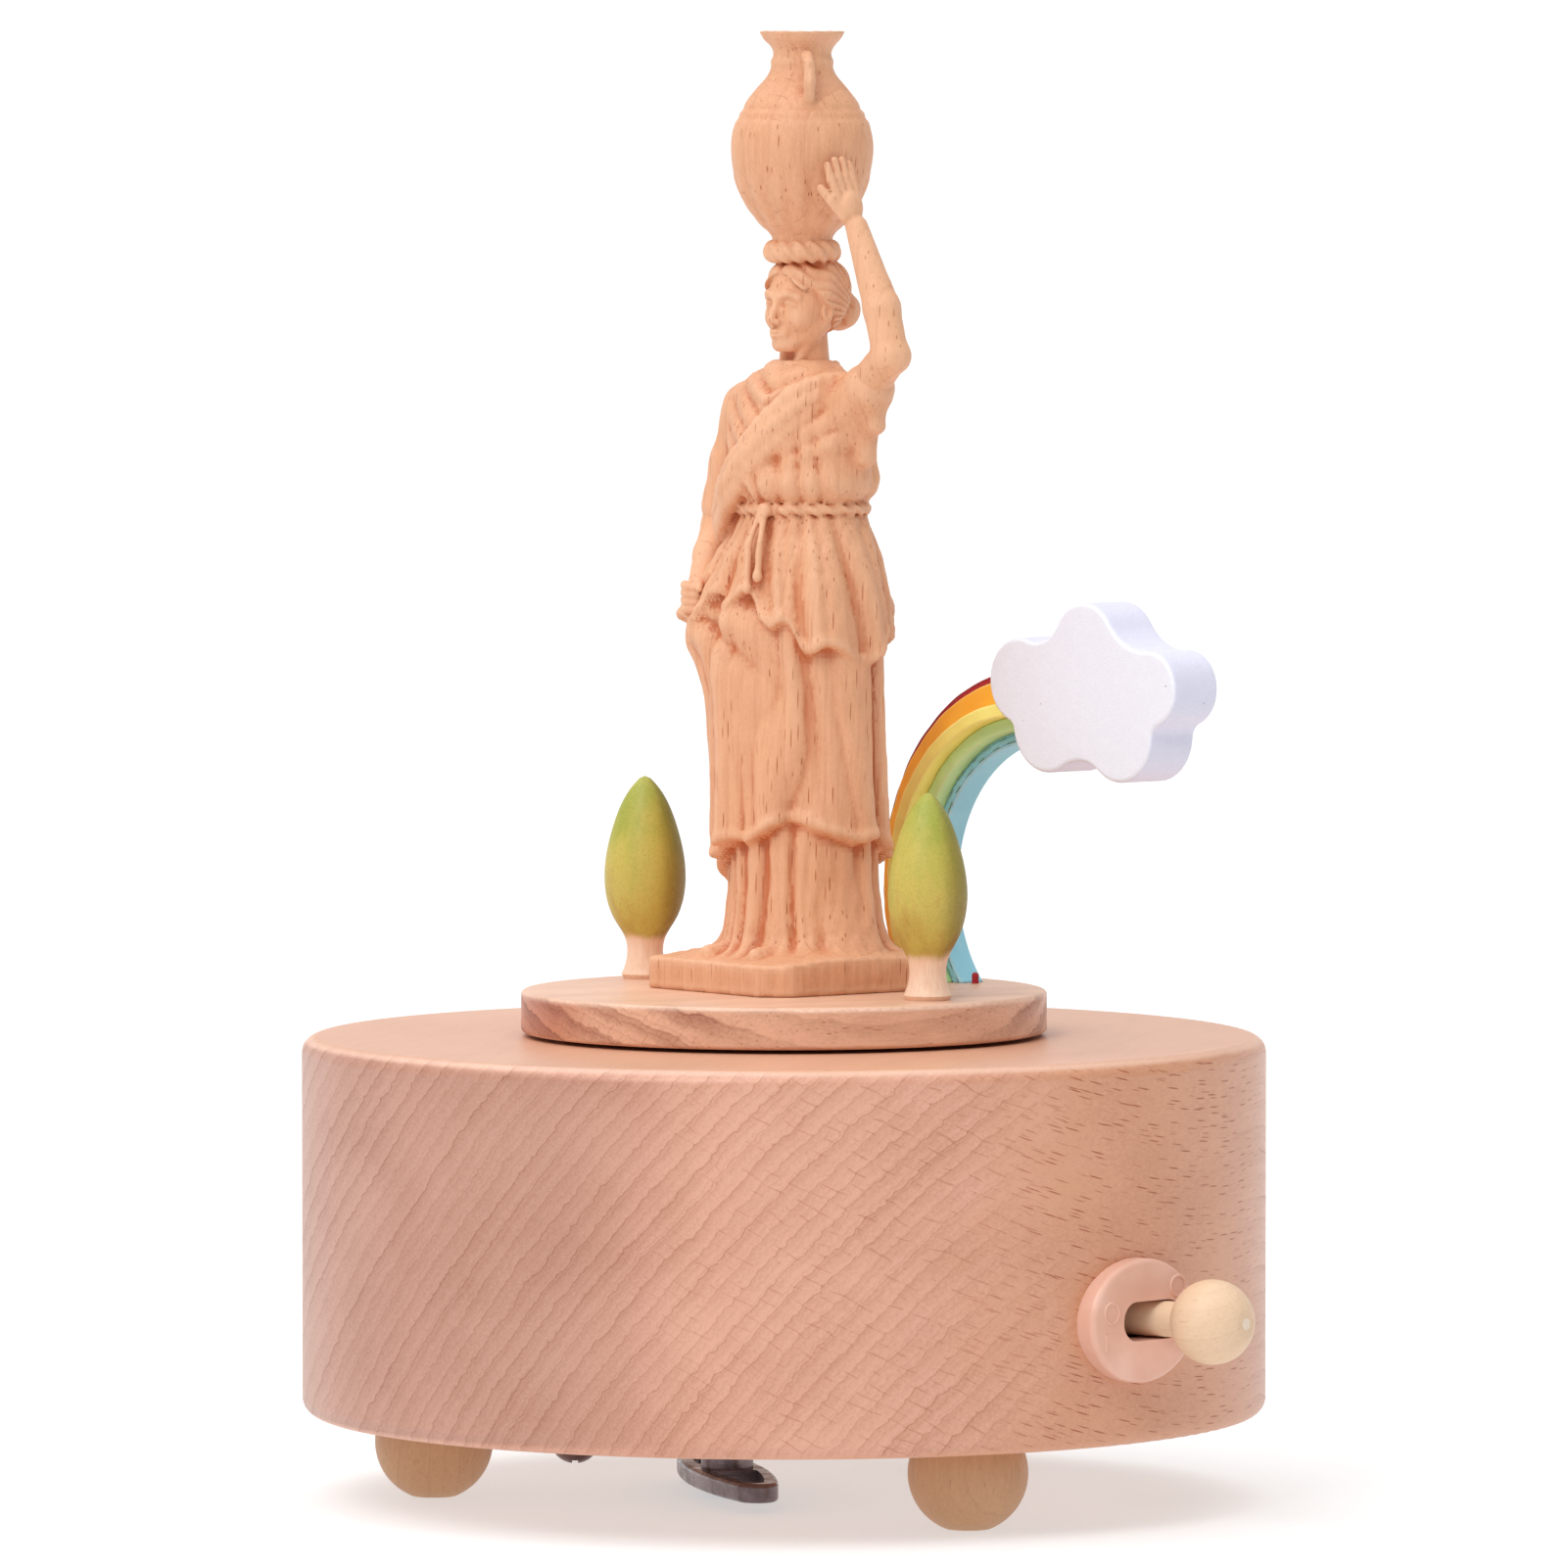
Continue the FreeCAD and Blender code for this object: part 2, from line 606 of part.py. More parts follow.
def carved_figure():
    """Robed figure that carries a tall jar on its head, on a slab, carved from one block."""
    x, y, base = PLINTH_X + FIGURE_ASIDE, PLINTH_Y + FIGURE_BEHIND, PLINTH_TOP
    unit = PERSON_H / 80.0
    robe = stack([(base - 0.4, x, y, 10.7, 9.0), (base + 3 * unit, x, y, 9.8, 8.6),
                  (base + 22 * unit, x, y, 10.3, 8.6), (base + 42 * unit, x, y, 11.4, 9.0),
                  (base + 53 * unit, x, y, 10.0, 7.8), (base + 61 * unit, x, y, 10.8, 7.0),
                  (base + 66.5 * unit, x, y, 8.6, 5.2)])
    neck = cyl(2.9, base + 64 * unit, base + 72 * unit, x, y)
    head = stack([(base + 68.6 * unit, x, y, 2.0, 2.4), (base + 70.4 * unit, x, y, 3.9, 4.3),
                  (base + 75 * unit, x, y + 0.3, 4.6, 5.4), (base + 79 * unit, x, y + 0.3, 3.9, 4.6),
                  (base + 80.6 * unit, x, y, 2.4, 2.8)])
    pad_z = base + 79.6 * unit
    pad = cyl(4.4, pad_z, pad_z + RING_PAD_H, x, y)
    jar_z = pad_z + RING_PAD_H - 0.4
    jar_shape = [(0.0, 3.6), (0.2, 6.4), (0.46, 8.2), (0.7, 6.2), (0.84, 3.6), (0.92, 3.9), (1.0, 4.9)]
    jar = stack([(jar_z + JAR_H * share, x, y, r, r) for share, r in jar_shape])
    raised = limb([(x + 8.4, y, base + 62 * unit), (x + 16.8, y - 1.5, base + 69 * unit),
                   (x + 9.4, y - 1.5, base + 88 * unit)], [3.4, 2.8, 2.2])
    lowered = limb([(x - 8.4, y, base + 62 * unit), (x - 12.8, y - 1.0, base + 49 * unit),
                    (x - 9.6, y - 7.6, base + 41 * unit)], [3.4, 2.8, 2.3])
    return in_scene(fuse(plinth(), robe, neck, head, pad, jar, *raised, *lowered))


def tree(x, crown_r):
    """Turned tree: a short waisted trunk and a pointed bullet-shaped crown in one piece."""
    crown_h = TREE_H - TRUNK_H
    profile = [(TRUNK_FOOT_R, 0.5), (TRUNK_R - 0.1, TRUNK_H * 0.45), (TRUNK_R, TRUNK_H),
               (crown_r * 0.74, TRUNK_H + crown_h * 0.11), (crown_r, TRUNK_H + crown_h * 0.38),
               (crown_r * 0.8, TRUNK_H + crown_h * 0.68), (crown_r * 0.42, TRUNK_H + crown_h * 0.9)]
    side = Part.BSplineCurve()
    side.interpolate([Vector(r, 0, z) for r, z in profile] + [Vector(0.6, 0, TREE_H - 0.25)])
    tip = Part.makeLine(Vector(0.6, 0, TREE_H - 0.25), Vector(0, 0, TREE_H))
    axis = Part.makeLine(Vector(0, 0, TREE_H), Vector(0, 0, 0))
    floor = Part.makeLine(Vector(0, 0, 0), Vector(TRUNK_FOOT_R - 0.3, 0, 0))
    edge = Part.makeLine(Vector(TRUNK_FOOT_R - 0.3, 0, 0), Vector(TRUNK_FOOT_R, 0, 0.5))
    outline = Part.Wire([floor, edge, side.toShape(), tip, axis])
    body = Part.Face(outline).revolve(Vector(0, 0, 0), Vector(0, 0, 1), 360)
    body = cut(body, cyl(TREE_DOWEL_R, 0, TREE_DOWEL_LEN / 2))
    return in_scene(moved(body, x, TREE_Y, DISC_TOP))


def tree_dowels():
    low = DISC_TOP - TREE_DOWEL_LEN / 2
    high = DISC_TOP + TREE_DOWEL_LEN / 2
    dowels = [in_scene(cyl(TREE_DOWEL_R, low, high, x, TREE_Y)) for x in (TREE_LEFT_X, TREE_RIGHT_X)]
    return Part.makeCompound(dowels)


def band_radii(index):
    outer = RAINBOW_R - sum(BAND_WIDTHS[:index])
    return outer, outer - BAND_WIDTHS[index]


def rainbow_band(index):
    """One arc from the disc up and over into the cloud, in the scene's axes."""
    outer, inner = band_radii(index)
    centre_z = DISC_TOP + RAINBOW_RISE

    def point(radius, degrees):
        dx, dz = polar(radius, degrees)
        return Vector(RAINBOW_X + dx, RAINBOW_BACK_Y, centre_z + dz)

    foot_outer = 180 + math.degrees(math.asin(RAINBOW_RISE / outer))
    foot_inner = 180 + math.degrees(math.asin(RAINBOW_RISE / inner))
    end = RAINBOW_END_DEG
    outside = arc_through(point(outer, foot_outer), point(outer, (foot_outer + end) / 2), point(outer, end))
    inside = arc_through(point(inner, end), point(inner, (foot_inner + end) / 2), point(inner, foot_inner))
    top = Part.makeLine(point(outer, end), point(inner, end))
    foot = Part.makeLine(point(inner, foot_inner), point(outer, foot_outer))
    outline = Part.Wire([outside, top, inside, foot])
    return Part.Face(outline).extrude(Vector(0, -BAND_DEPTHS[index], 0))


def cloud():
    outline = lobed_outline(CLOUD_LOBES)
    block = Part.Face(outline).extrude(Vector(0, 0, CLOUD_THICK))
    rims = [edge for edge in block.Edges if edge.BoundBox.ZLength < 1e-6]
    block = block.makeFillet(CLOUD_ROUND, rims)
    block = turned(block, 90, axis=Vector(1, 0, 0))
    block = moved(block, CLOUD_X, RAINBOW_BACK_Y - CLOUD_BACK_INSET, DISC_TOP + CLOUD_Z)
    block = cut(block, *[rainbow_band(i) for i in range(len(BAND_NAMES))])
    return in_scene(block)


def rainbow_peg():
    shaft = cyl(PEG_R, DISC_TOP, DISC_TOP + PEG_H - PEG_R, PEG_X, PEG_Y)
    dome = Part.makeSphere(PEG_R, Vector(PEG_X, PEG_Y, DISC_TOP + PEG_H - PEG_R))
    return in_scene(fuse(shaft, dome))


def lens_outline(length, width, tip_r):
    """Long pointed oval with round tips: two wide arcs that run into a small circle at each end."""
    tip_x = length / 2 - tip_r
    side_r = (tip_x ** 2 + width ** 2 / 4 - tip_r ** 2) / (width - 2 * tip_r)
    side_y = side_r - width / 2
    lean = math.degrees(math.atan2(tip_x, side_y))
    return Part.Wire([level_arc((0, -side_y), side_r, 90 + lean, 90 - lean),
                      level_arc((tip_x, 0), tip_r, 90 - lean, lean - 90),
                      level_arc((0, side_y), side_r, lean - 90, -90 - lean),
                      level_arc((-tip_x, 0), tip_r, -90 - lean, -270 + lean)])


def winding_key():
    """Flat two-winged key with a long eye in each wing and a boss up to the arbor."""
    bottom = KEY_GROUND_GAP
    top = bottom + KEY_THICK
    plate = Part.Face(lens_outline(KEY_LEN, KEY_W, KEY_TIP_R)).extrude(Vector(0, 0, KEY_THICK))
    rims = [edge for edge in plate.Edges if edge.BoundBox.ZLength < 1e-6]
    plate = moved(plate.makeFillet(0.5, rims), 0, 0, bottom)
    inner = lens_outline(KEY_LEN - 2 * KEY_RIM, KEY_W - 2 * KEY_RIM, KEY_TIP_R - KEY_RIM)
    eyes = moved(Part.Face(inner).extrude(Vector(0, 0, KEY_THICK)), 0, 0, bottom)
    middle = KEY_BOSS_R + 1.0
    eyes = cut(eyes, box(-middle, middle, -KEY_W, KEY_W, bottom, top))
    boss = cyl(KEY_BOSS_R, bottom, COVER_TOP - 1.0)
    key = cut(fuse(cut(plate, eyes), boss), cyl(ARBOR_R, top, COVER_TOP))
    return moved(turned(key, KEY_DEG), KEY_X, KEY_Y, 0)


def winding_arbor():
    shaft = cyl(ARBOR_R, KEY_GROUND_GAP + KEY_THICK, BRIDGE_TOP, KEY_X, KEY_Y)
    core = cyl(ARBOR_R + 0.7, BARREL_Z + 1.4, BARREL_TOP - 1.4, KEY_X, KEY_Y)
    return fuse(shaft, core)


def ratchet_wheel():
    points = []
    step = 360 / RATCHET_TEETH
    for i in range(RATCHET_TEETH):
        points.append(polar(RATCHET_R, i * step))
        points.append(polar(RATCHET_R * 0.82, i * step + step * 0.04))
    wheel = prism(points, RATCHET_Z, RATCHET_Z + RATCHET_THICK)
    wheel = cut(wheel, cyl(ARBOR_R, RATCHET_Z, RATCHET_Z + RATCHET_THICK))
    return moved(wheel, KEY_X, KEY_Y, 0)


def click_pawl():
    pivot_x = KEY_X - RATCHET_R - 3.2
    pivot_y = KEY_Y + 3.5
    post = cyl(0.8, BED_TOP, RATCHET_Z + RATCHET_THICK, pivot_x, pivot_y)
    hub = cyl(1.5, RATCHET_Z, RATCHET_Z + RATCHET_THICK - 0.2, pivot_x, pivot_y)
    nose_x = KEY_X - RATCHET_R - 0.15
    corners = [(pivot_x - 0.9, pivot_y), (pivot_x + 0.9, pivot_y + 0.4), (nose_x, KEY_Y + 0.4),
               (nose_x, KEY_Y - 0.4)]
    return fuse(post, hub, prism(corners, RATCHET_Z, RATCHET_Z + RATCHET_THICK - 0.2))


def barrel_drum():
    shell = cyl(BARREL_R, BARREL_Z + BARREL_WALL, BARREL_TOP, KEY_X, KEY_Y)
    hollow = cyl(BARREL_R - BARREL_WALL, BARREL_Z + BARREL_WALL, BARREL_TOP - BARREL_WALL, KEY_X, KEY_Y)
    flange = cyl(CROWN_R + CROWN_HALF, BARREL_TOP - BARREL_WALL, BARREL_TOP, KEY_X, KEY_Y)
    ring = cut(cyl(CROWN_R + CROWN_HALF, BARREL_TOP, BARREL_TOP + CROWN_H),
               cyl(CROWN_R - CROWN_HALF, BARREL_TOP, BARREL_TOP + CROWN_H))
    pitch = 2 * math.pi * CROWN_R / CROWN_TEETH
    tooth_gap = box(CROWN_R - 3, CROWN_R + 3, -0.36 * pitch, 0.36 * pitch, BARREL_TOP, BARREL_TOP + 3)
    ring = ring.cut(Part.makeCompound(on_circle(tooth_gap, CROWN_TEETH, 0)))
    shell = fuse(cut(shell, hollow), flange, moved(ring, KEY_X, KEY_Y, 0))
    return cut(shell, cyl(ARBOR_R + RUN_CLEAR, BARREL_Z, BARREL_TOP, KEY_X, KEY_Y))


def barrel_lid():
    lid = cyl(BARREL_R, BARREL_Z, BARREL_Z + BARREL_WALL, KEY_X, KEY_Y)
    return cut(lid, cyl(ARBOR_R + RUN_CLEAR, BARREL_Z, BARREL_Z + BARREL_WALL, KEY_X, KEY_Y))


def barrel_gear():
    top = BARREL_GEAR_Z + TOP_GEAR_W
    wheel = gear(BARREL_GEAR_TEETH, TOP_MODULE, TOP_GEAR_W, KEY_X, KEY_Y, BARREL_GEAR_Z)
    hub = cyl(ARBOR_R + 1.4, BARREL_TOP, BARREL_GEAR_Z, KEY_X, KEY_Y)
    return cut(fuse(wheel, hub), cyl(ARBOR_R + RUN_CLEAR, BARREL_TOP, top, KEY_X, KEY_Y))


def mainspring():
    """Flat steel strip wound as half circles that step outward."""
    turns = 5
    strip = 0.3
    start_r = ARBOR_R + 0.7 + 0.6
    end_r = BARREL_R - BARREL_WALL - 0.05
    growth = (end_r - strip - start_r) / (2 * turns)

    def half_circles(offset):
        edges = []
        x = start_r + offset
        for i in range(2 * turns):
            sign = 1 if i % 2 == 0 else -1
            radius = start_r + offset + growth * (i + 0.5)
            centre = x - sign * radius
            far = centre - sign * radius
            edges.append(arc_through(Vector(x, 0, 0), Vector(centre, sign * radius, 0), Vector(far, 0, 0)))
            x = far
        return edges, Vector(x, 0, 0)

    inner, inner_end = half_circles(0.0)
    outer, outer_end = half_circles(strip)
    first = Part.makeLine(Vector(start_r + strip, 0, 0), Vector(start_r, 0, 0))
    last = Part.makeLine(inner_end, outer_end)
    outline = Part.Wire(Part.sortEdges(inner + [last] + outer + [first])[0])
    ribbon = Part.Face(outline).extrude(Vector(0, 0, BARREL_H - 2 * BARREL_WALL - 1.4))
    return moved(ribbon, KEY_X, KEY_Y, BARREL_Z + BARREL_WALL + 0.7)


def bed_screw_places():
    left = KEY_X - BARREL_R + 2
    middle = CYLINDER_X + 8
    right = CYLINDER_X + CYLINDER_LEN
    return [(left, KEY_Y + 15), (left, KEY_Y - 14), (middle, KEY_Y - 12.5), (right, KEY_Y + 12)]


def bedplate():
    corner = 5.0
    x0, x1 = KEY_X - BARREL_R - 2.5, WHEEL_X + 4.0
    y0, y1 = KEY_Y - BRIDGE_REACH - 2.6, comb_block_y() + COMB_BLOCK_D + 0.85
    points = [(x0 + corner, y0), (x1 - 1, y0), (x1, y0 + 1), (x1, y1 - 9), (x1 - 9, y1), (x0 + corner, y1),
              (x0, y1 - corner), (x0, y0 + corner)]
    plate = prism(points, COVER_TOP, BED_TOP).common(cyl(CAVITY_R - BED_CLEAR, COVER_TOP, BED_TOP))
    plate = cut(plate, cyl(ARBOR_R + RUN_CLEAR, COVER_TOP, BED_TOP, KEY_X, KEY_Y))
    for x, y in bed_screw_places():
        plate = cut(plate, cyl(SCREW_R, COVER_TOP, BED_TOP, x, y))
    return plate


def bridge_post_places():
    return [(KEY_X, KEY_Y - BRIDGE_REACH), (KEY_X, KEY_Y + BRIDGE_REACH)]


def bridge_screw_low():
    return BRIDGE_Z - 5


def bridge_posts():
    posts = []
    for x, y in bridge_post_places():
        hole = cyl(SCREW_R, bridge_screw_low(), BRIDGE_Z, x, y)
        posts.append(cut(cyl(BRIDGE_POST_R, BED_TOP, BRIDGE_Z, x, y), hole))
    return Part.makeCompound(posts)


def movement_bridge():
    """Top plate that steadies the arbor and, on an ear, the spindle."""
    reach = BRIDGE_REACH + BRIDGE_POST_R + 0.4
    ear_r = SPINDLE_R + 1.0
    beam = box(KEY_X - BRIDGE_HALF, KEY_X + BRIDGE_HALF, KEY_Y - reach, KEY_Y + reach, BRIDGE_Z, BRIDGE_TOP)
    ear = fuse(cyl(ear_r, BRIDGE_Z, BRIDGE_TOP), box(KEY_X, 0, -ear_r, ear_r, BRIDGE_Z, BRIDGE_TOP))
    plate = fuse(beam, ear)
    for x, y in bridge_post_places():
        plate = cut(plate, cyl(SCREW_R, BRIDGE_Z, BRIDGE_TOP, x, y))
    plate = cut(plate, cyl(ARBOR_R + RUN_CLEAR, BRIDGE_Z, BRIDGE_TOP, KEY_X, KEY_Y))
    return cut(plate, cyl(SPINDLE_R + RUN_CLEAR, BRIDGE_Z, BRIDGE_TOP))


def bracket(x0, x1, y, z, half, foot_y):
    """Upright bearing plate across the X axis, with a foot on the bedplate."""
    plate = box(x0, x1, y - half, y + half, BED_TOP, z)
    crest = cyl_x(half, x0, x1, y, z)
    foot_plate = box(x0, x1, min(foot_y, y - half), max(foot_y, y + half), BED_TOP, BED_TOP + 1.2)
    return fuse(plate, crest, foot_plate)


def cylinder_bracket_left():
    x1 = BRACKET_X + BRACKET_THICK
    body = bracket(BRACKET_X, x1, KEY_Y, CYLINDER_Z, 2.4, KEY_Y + 6)
    return cut(body, cyl_x(CYLINDER_ARBOR_R + RUN_CLEAR, BRACKET_X, x1, KEY_Y, CYLINDER_Z))


def cylinder_bracket_right():
    x0 = CYLINDER_GEAR_X + GEAR_W + 0.5
    body = bracket(x0, x0 + 1.5, KEY_Y, CYLINDER_Z, 2.4, KEY_Y + 6)
    return cut(body, cyl_x(CYLINDER_ARBOR_R + RUN_CLEAR, x0, x0 + 1.5, KEY_Y, CYLINDER_Z))


def pin_cylinder():
    """Brass cylinder with three rings of pins for each tooth of the comb."""
    barrel = cyl_x(CYLINDER_R, CYLINDER_X, CYLINDER_X + CYLINDER_LEN, KEY_Y, CYLINDER_Z)
    barrel = cut(barrel, cyl_x(CYLINDER_ARBOR_R, CYLINDER_X, CYLINDER_X + CYLINDER_LEN, KEY_Y, CYLINDER_Z))
    pins = []
    for track in range(COMB_TEETH):
        x = CYLINDER_X + (track + 0.5) * CYLINDER_LEN / COMB_TEETH
        for turn in range(3):
            degrees = (track * 140 + turn * 117) % 360
            dy, dz = polar(1.0, degrees)
            start = Vector(x, KEY_Y + dy * (CYLINDER_R - 0.3), CYLINDER_Z + dz * (CYLINDER_R - 0.3))
            pins.append(Part.makeCylinder(PIN_R, PIN_PROUD + 0.3, start, Vector(0, dy, dz)))
    return fuse(barrel, *pins)


def cylinder_arbor():
    return cyl_x(CYLINDER_ARBOR_R, PINION_X - CROWN_HALF, CYLINDER_GEAR_X + GEAR_W + 2.0, KEY_Y, CYLINDER_Z)


def cylinder_pinion():
    width = 2 * CROWN_HALF - 0.2
    return gear_x(PINION_TEETH, CROWN_MODULE, width, PINION_X - width / 2, KEY_Y, CYLINDER_Z,
                  first_deg=-90, bore=CYLINDER_ARBOR_R)


def cylinder_gear():
    lean = math.degrees(math.atan2(IDLER_Z - CYLINDER_Z, IDLER_Y - KEY_Y))
    return gear_x(CYLINDER_GEAR_TEETH, TRAIN_MODULE, GEAR_W, CYLINDER_GEAR_X, KEY_Y, CYLINDER_Z,
                  first_deg=lean, bore=CYLINDER_ARBOR_R)


def comb_tip_y():
    return KEY_Y + CYLINDER_R + PIN_PROUD + COMB_GAP


def comb_levels():
    return CYLINDER_Z - COMB_THICK / 2, CYLINDER_Z + COMB_THICK / 2


def comb_screw_low():
    return CYLINDER_Z - 6


def comb_screw_places():
    y = comb_tip_y() + COMB_TOOTH_LEN + 2.7
    return [(CYLINDER_X + CYLINDER_LEN * share, y) for share in (0.17, 0.48, 0.78)]


def comb_block_y():
    return comb_tip_y() + COMB_TOOTH_LEN - 0.3


def comb_block():
    x0, x1, y0 = CYLINDER_X + 0.2, CYLINDER_X + CYLINDER_LEN - 1.2, comb_block_y()
    block = box(x0, x1, y0, y0 + COMB_BLOCK_D, BED_TOP, comb_levels()[0])
    for x, y in comb_screw_places():
        block = cut(block, cyl(COMB_SCREW_R, comb_screw_low(), CYLINDER_Z, x, y))
    return block


def comb():
    """Steel comb: a solid back and one thin tooth for each note."""
    tip_y = comb_tip_y()
    back_y = tip_y + COMB_TOOTH_LEN
    pitch = CYLINDER_LEN / COMB_TEETH
    low, high = comb_levels()
    body = box(CYLINDER_X + 0.1, CYLINDER_X + CYLINDER_LEN - 0.1, back_y, back_y + 5.4, low, high)
    for i in range(COMB_TEETH):
        middle = CYLINDER_X + (i + 0.5) * pitch
        tooth = box(middle - 0.36 * pitch, middle + 0.36 * pitch, tip_y, back_y, high - COMB_THICK / 2, high)
        body = body.fuse(tooth)
    body = body.removeSplitter()
    for x, y in comb_screw_places():
        body = cut(body, cyl(COMB_SCREW_R, low, high, x, y))
    return body


def cheese_head_screw(x, y, low, seat, shank_r, head_r):
    """Slotted screw that goes down from its seat."""
    top = seat + SCREW_HEAD_H
    slot = box(x - head_r, x + head_r, y - 0.2, y + 0.2, top - SCREW_HEAD_H / 2, top)
    return cut(fuse(cyl(shank_r, low, seat, x, y), cyl(head_r, seat, top, x, y)), slot)


def movement_screws():
    screws = []
    for x, y in bed_screw_places():
        screws.append(cheese_head_screw(x, y, DRUM_LIFT, BED_TOP, SCREW_R, SCREW_HEAD_R))
    for x, y in bridge_post_places():
        screws.append(cheese_head_screw(x, y, bridge_screw_low(), BRIDGE_TOP, SCREW_R, SCREW_HEAD_R))
    for x, y in comb_screw_places():
        seat = comb_levels()[1]
        screws.append(cheese_head_screw(x, y, comb_screw_low(), seat, COMB_SCREW_R, COMB_SCREW_HEAD_R))
    return Part.makeCompound(screws)


def idler_shaft():
    return cyl_x(IDLER_SHAFT_R, CYLINDER_GEAR_X - 1.9, WHEEL_X + GEAR_W + 1.6, IDLER_Y, IDLER_Z)


def idler_pinion():
    lean = math.degrees(math.atan2(CYLINDER_Z - IDLER_Z, KEY_Y - IDLER_Y))
    return gear_x(IDLER_TEETH, TRAIN_MODULE, GEAR_W, CYLINDER_GEAR_X, IDLER_Y, IDLER_Z,
                  first_deg=lean + 180 / IDLER_TEETH, bore=IDLER_SHAFT_R)


def worm_wheel():
    return gear_x(WHEEL_TEETH, WHEEL_MODULE, GEAR_W, WHEEL_X, IDLER_Y, IDLER_Z,
                  first_deg=180, bore=IDLER_SHAFT_R)


def governor_worm():
    """Shaft with a two-start thread, built of short twisted layers."""
    shaft = cyl(GOVERNOR_R, BED_TOP + 0.6, FRAME_TOP + 1.2, GOVERNOR_X, GOVERNOR_Y)
    lead = WORM_STARTS * math.pi * WHEEL_MODULE
    layers_per_turn = 8
    corners = 8
    step = lead / layers_per_turn
    layers = int(WORM_LEN / step)
    first_z = IDLER_Z - layers * step / 2

    def ring(layer):
        z = first_z + layer * step
        turn = 360 / layers_per_turn * layer
        phase = 360 / lead * (first_z - IDLER_Z)
        points = []
        for i in range(corners + 1):
            angle = i * 360 / corners
            radius = WORM_R if i % (corners // WORM_STARTS) == 0 else WORM_R - WORM_DEPTH
            dx, dy = polar(radius, angle + turn + phase + 180)
            points.append(Vector(GOVERNOR_X + dx, GOVERNOR_Y + dy, z))
        return Part.makePolygon(points)

    thread = Part.makeLoft([ring(layer) for layer in range(layers + 1)], True, True)
    return fuse(shaft, thread)


def brake_disc():
    disc = cyl(BRAKE_R, BRAKE_Z, BRAKE_Z + 0.8, GOVERNOR_X, GOVERNOR_Y)
    return cut(disc, cyl(GOVERNOR_R, BRAKE_Z, BRAKE_Z + 0.8, GOVERNOR_X, GOVERNOR_Y))


def governor_fan():
    x, y, top = GOVERNOR_X, GOVERNOR_Y, FAN_Z + 2.6
    hub = cyl(GOVERNOR_R + 0.6, FAN_Z, top, x, y)
    vane = box(x - FAN_R, x + FAN_R, y - 0.25, y + 0.25, FAN_Z + 0.1, top - 0.1)
    return cut(fuse(hub, vane), cyl(GOVERNOR_R, FAN_Z, top, x, y))


def governor_frame():
    """Post with a foot and a top arm for the governor, and a side arm for the idler."""
    post_x0, post_x1 = GOVERNOR_X - 10.0, GOVERNOR_X - 7.2
    y0, y1 = GOVERNOR_Y - 1.6, GOVERNOR_Y + 1.6
    post = box(post_x0, post_x1, y0, y1, BED_TOP, FRAME_TOP + 1.4)
    top_arm = fuse(box(post_x0, GOVERNOR_X, y0, y1, FRAME_TOP, FRAME_TOP + 1.4),
                   cyl(1.6, FRAME_TOP, FRAME_TOP + 1.4, GOVERNOR_X, GOVERNOR_Y))
    foot_arm = fuse(box(post_x0, GOVERNOR_X, y0, y1, BED_TOP, BED_TOP + 1.4),
                    cyl(1.6, BED_TOP, BED_TOP + 1.4, GOVERNOR_X, GOVERNOR_Y))
    arm_x0, arm_x1 = CYLINDER_GEAR_X - 1.9, CYLINDER_GEAR_X - 0.4
    side = box(post_x0, arm_x1, y0 + 0.4, y1 - 0.4, IDLER_Z - 1.6, IDLER_Z + 1.6)
    reach = box(arm_x0, arm_x1, y0 + 0.4, IDLER_Y + 1.5, IDLER_Z - 1.6, IDLER_Z + 1.6)
    body = fuse(post, top_arm, foot_arm, side, reach)
    shaft_hole = cyl(GOVERNOR_R + RUN_CLEAR, BED_TOP + 0.4, FRAME_TOP + 1.4, GOVERNOR_X, GOVERNOR_Y)
    return cut(body, shaft_hole, cyl_x(IDLER_SHAFT_R + RUN_CLEAR, arm_x0, arm_x1, IDLER_Y, IDLER_Z))


def idler_bracket():
    x0 = WHEEL_X + GEAR_W + 0.4
    body = bracket(x0, x0 + 1.2, IDLER_Y, IDLER_Z, 1.6, IDLER_Y + 4)
    return cut(body, cyl_x(IDLER_SHAFT_R + RUN_CLEAR, x0, x0 + 1.2, IDLER_Y, IDLER_Z))


def lever_pivot_post():
    x, y = lever_pivot()
    collar = cyl(LEVER_POST_R, COVER_TOP, LEVER_Z - 2.2, x, y)
    pin = cyl(LEVER_PIN_R, COVER_TOP, BRAKE_Z + 1.6, x, y)
    return fuse(collar, pin)


def stop_arm_tip():
    """Angle and length of the stop arm, so that its tip meets the brake disc at full travel."""
    x, y = lever_pivot()
    dx, dy = GOVERNOR_X - x, GOVERNOR_Y - y
    length = math.hypot(dx, dy) - 0.2
    reach = BRAKE_R + STOP_GAP + STOP_TIP_R
    swing = math.degrees(2 * math.asin(reach / 2 / length))
    return math.degrees(math.atan2(dy, dx)) + swing + LEVER_TRAVEL_DEG, length


def stop_arm():
    """Steel hub on the pivot with an arm to the governor and a spigot for the wooden stick."""
    low, high = -2.0, BRAKE_Z + 1.0 - LEVER_Z
    blade_z = BRAKE_Z - LEVER_Z - 0.2
    angle, length = stop_arm_tip()
    blade = box(0, length - 0.6, -0.6, 0.6, blade_z, high)
    link = box(length - 1.2, length, -0.4, 0.4, blade_z, high)
    tip = cyl(STOP_TIP_R, blade_z, high, length, 0)
    arm = turned(fuse(blade, link, tip), angle - (LEVER_DEG + LEVER_REST_DEG))
    body = fuse(cyl(LEVER_HUB_R, low, high), arm, cyl_x(SPIGOT_R, 0, SPIGOT_LEN, 0, 0))
    return in_lever(cut(body, cyl(LEVER_PIN_R + RUN_CLEAR, low, high)))


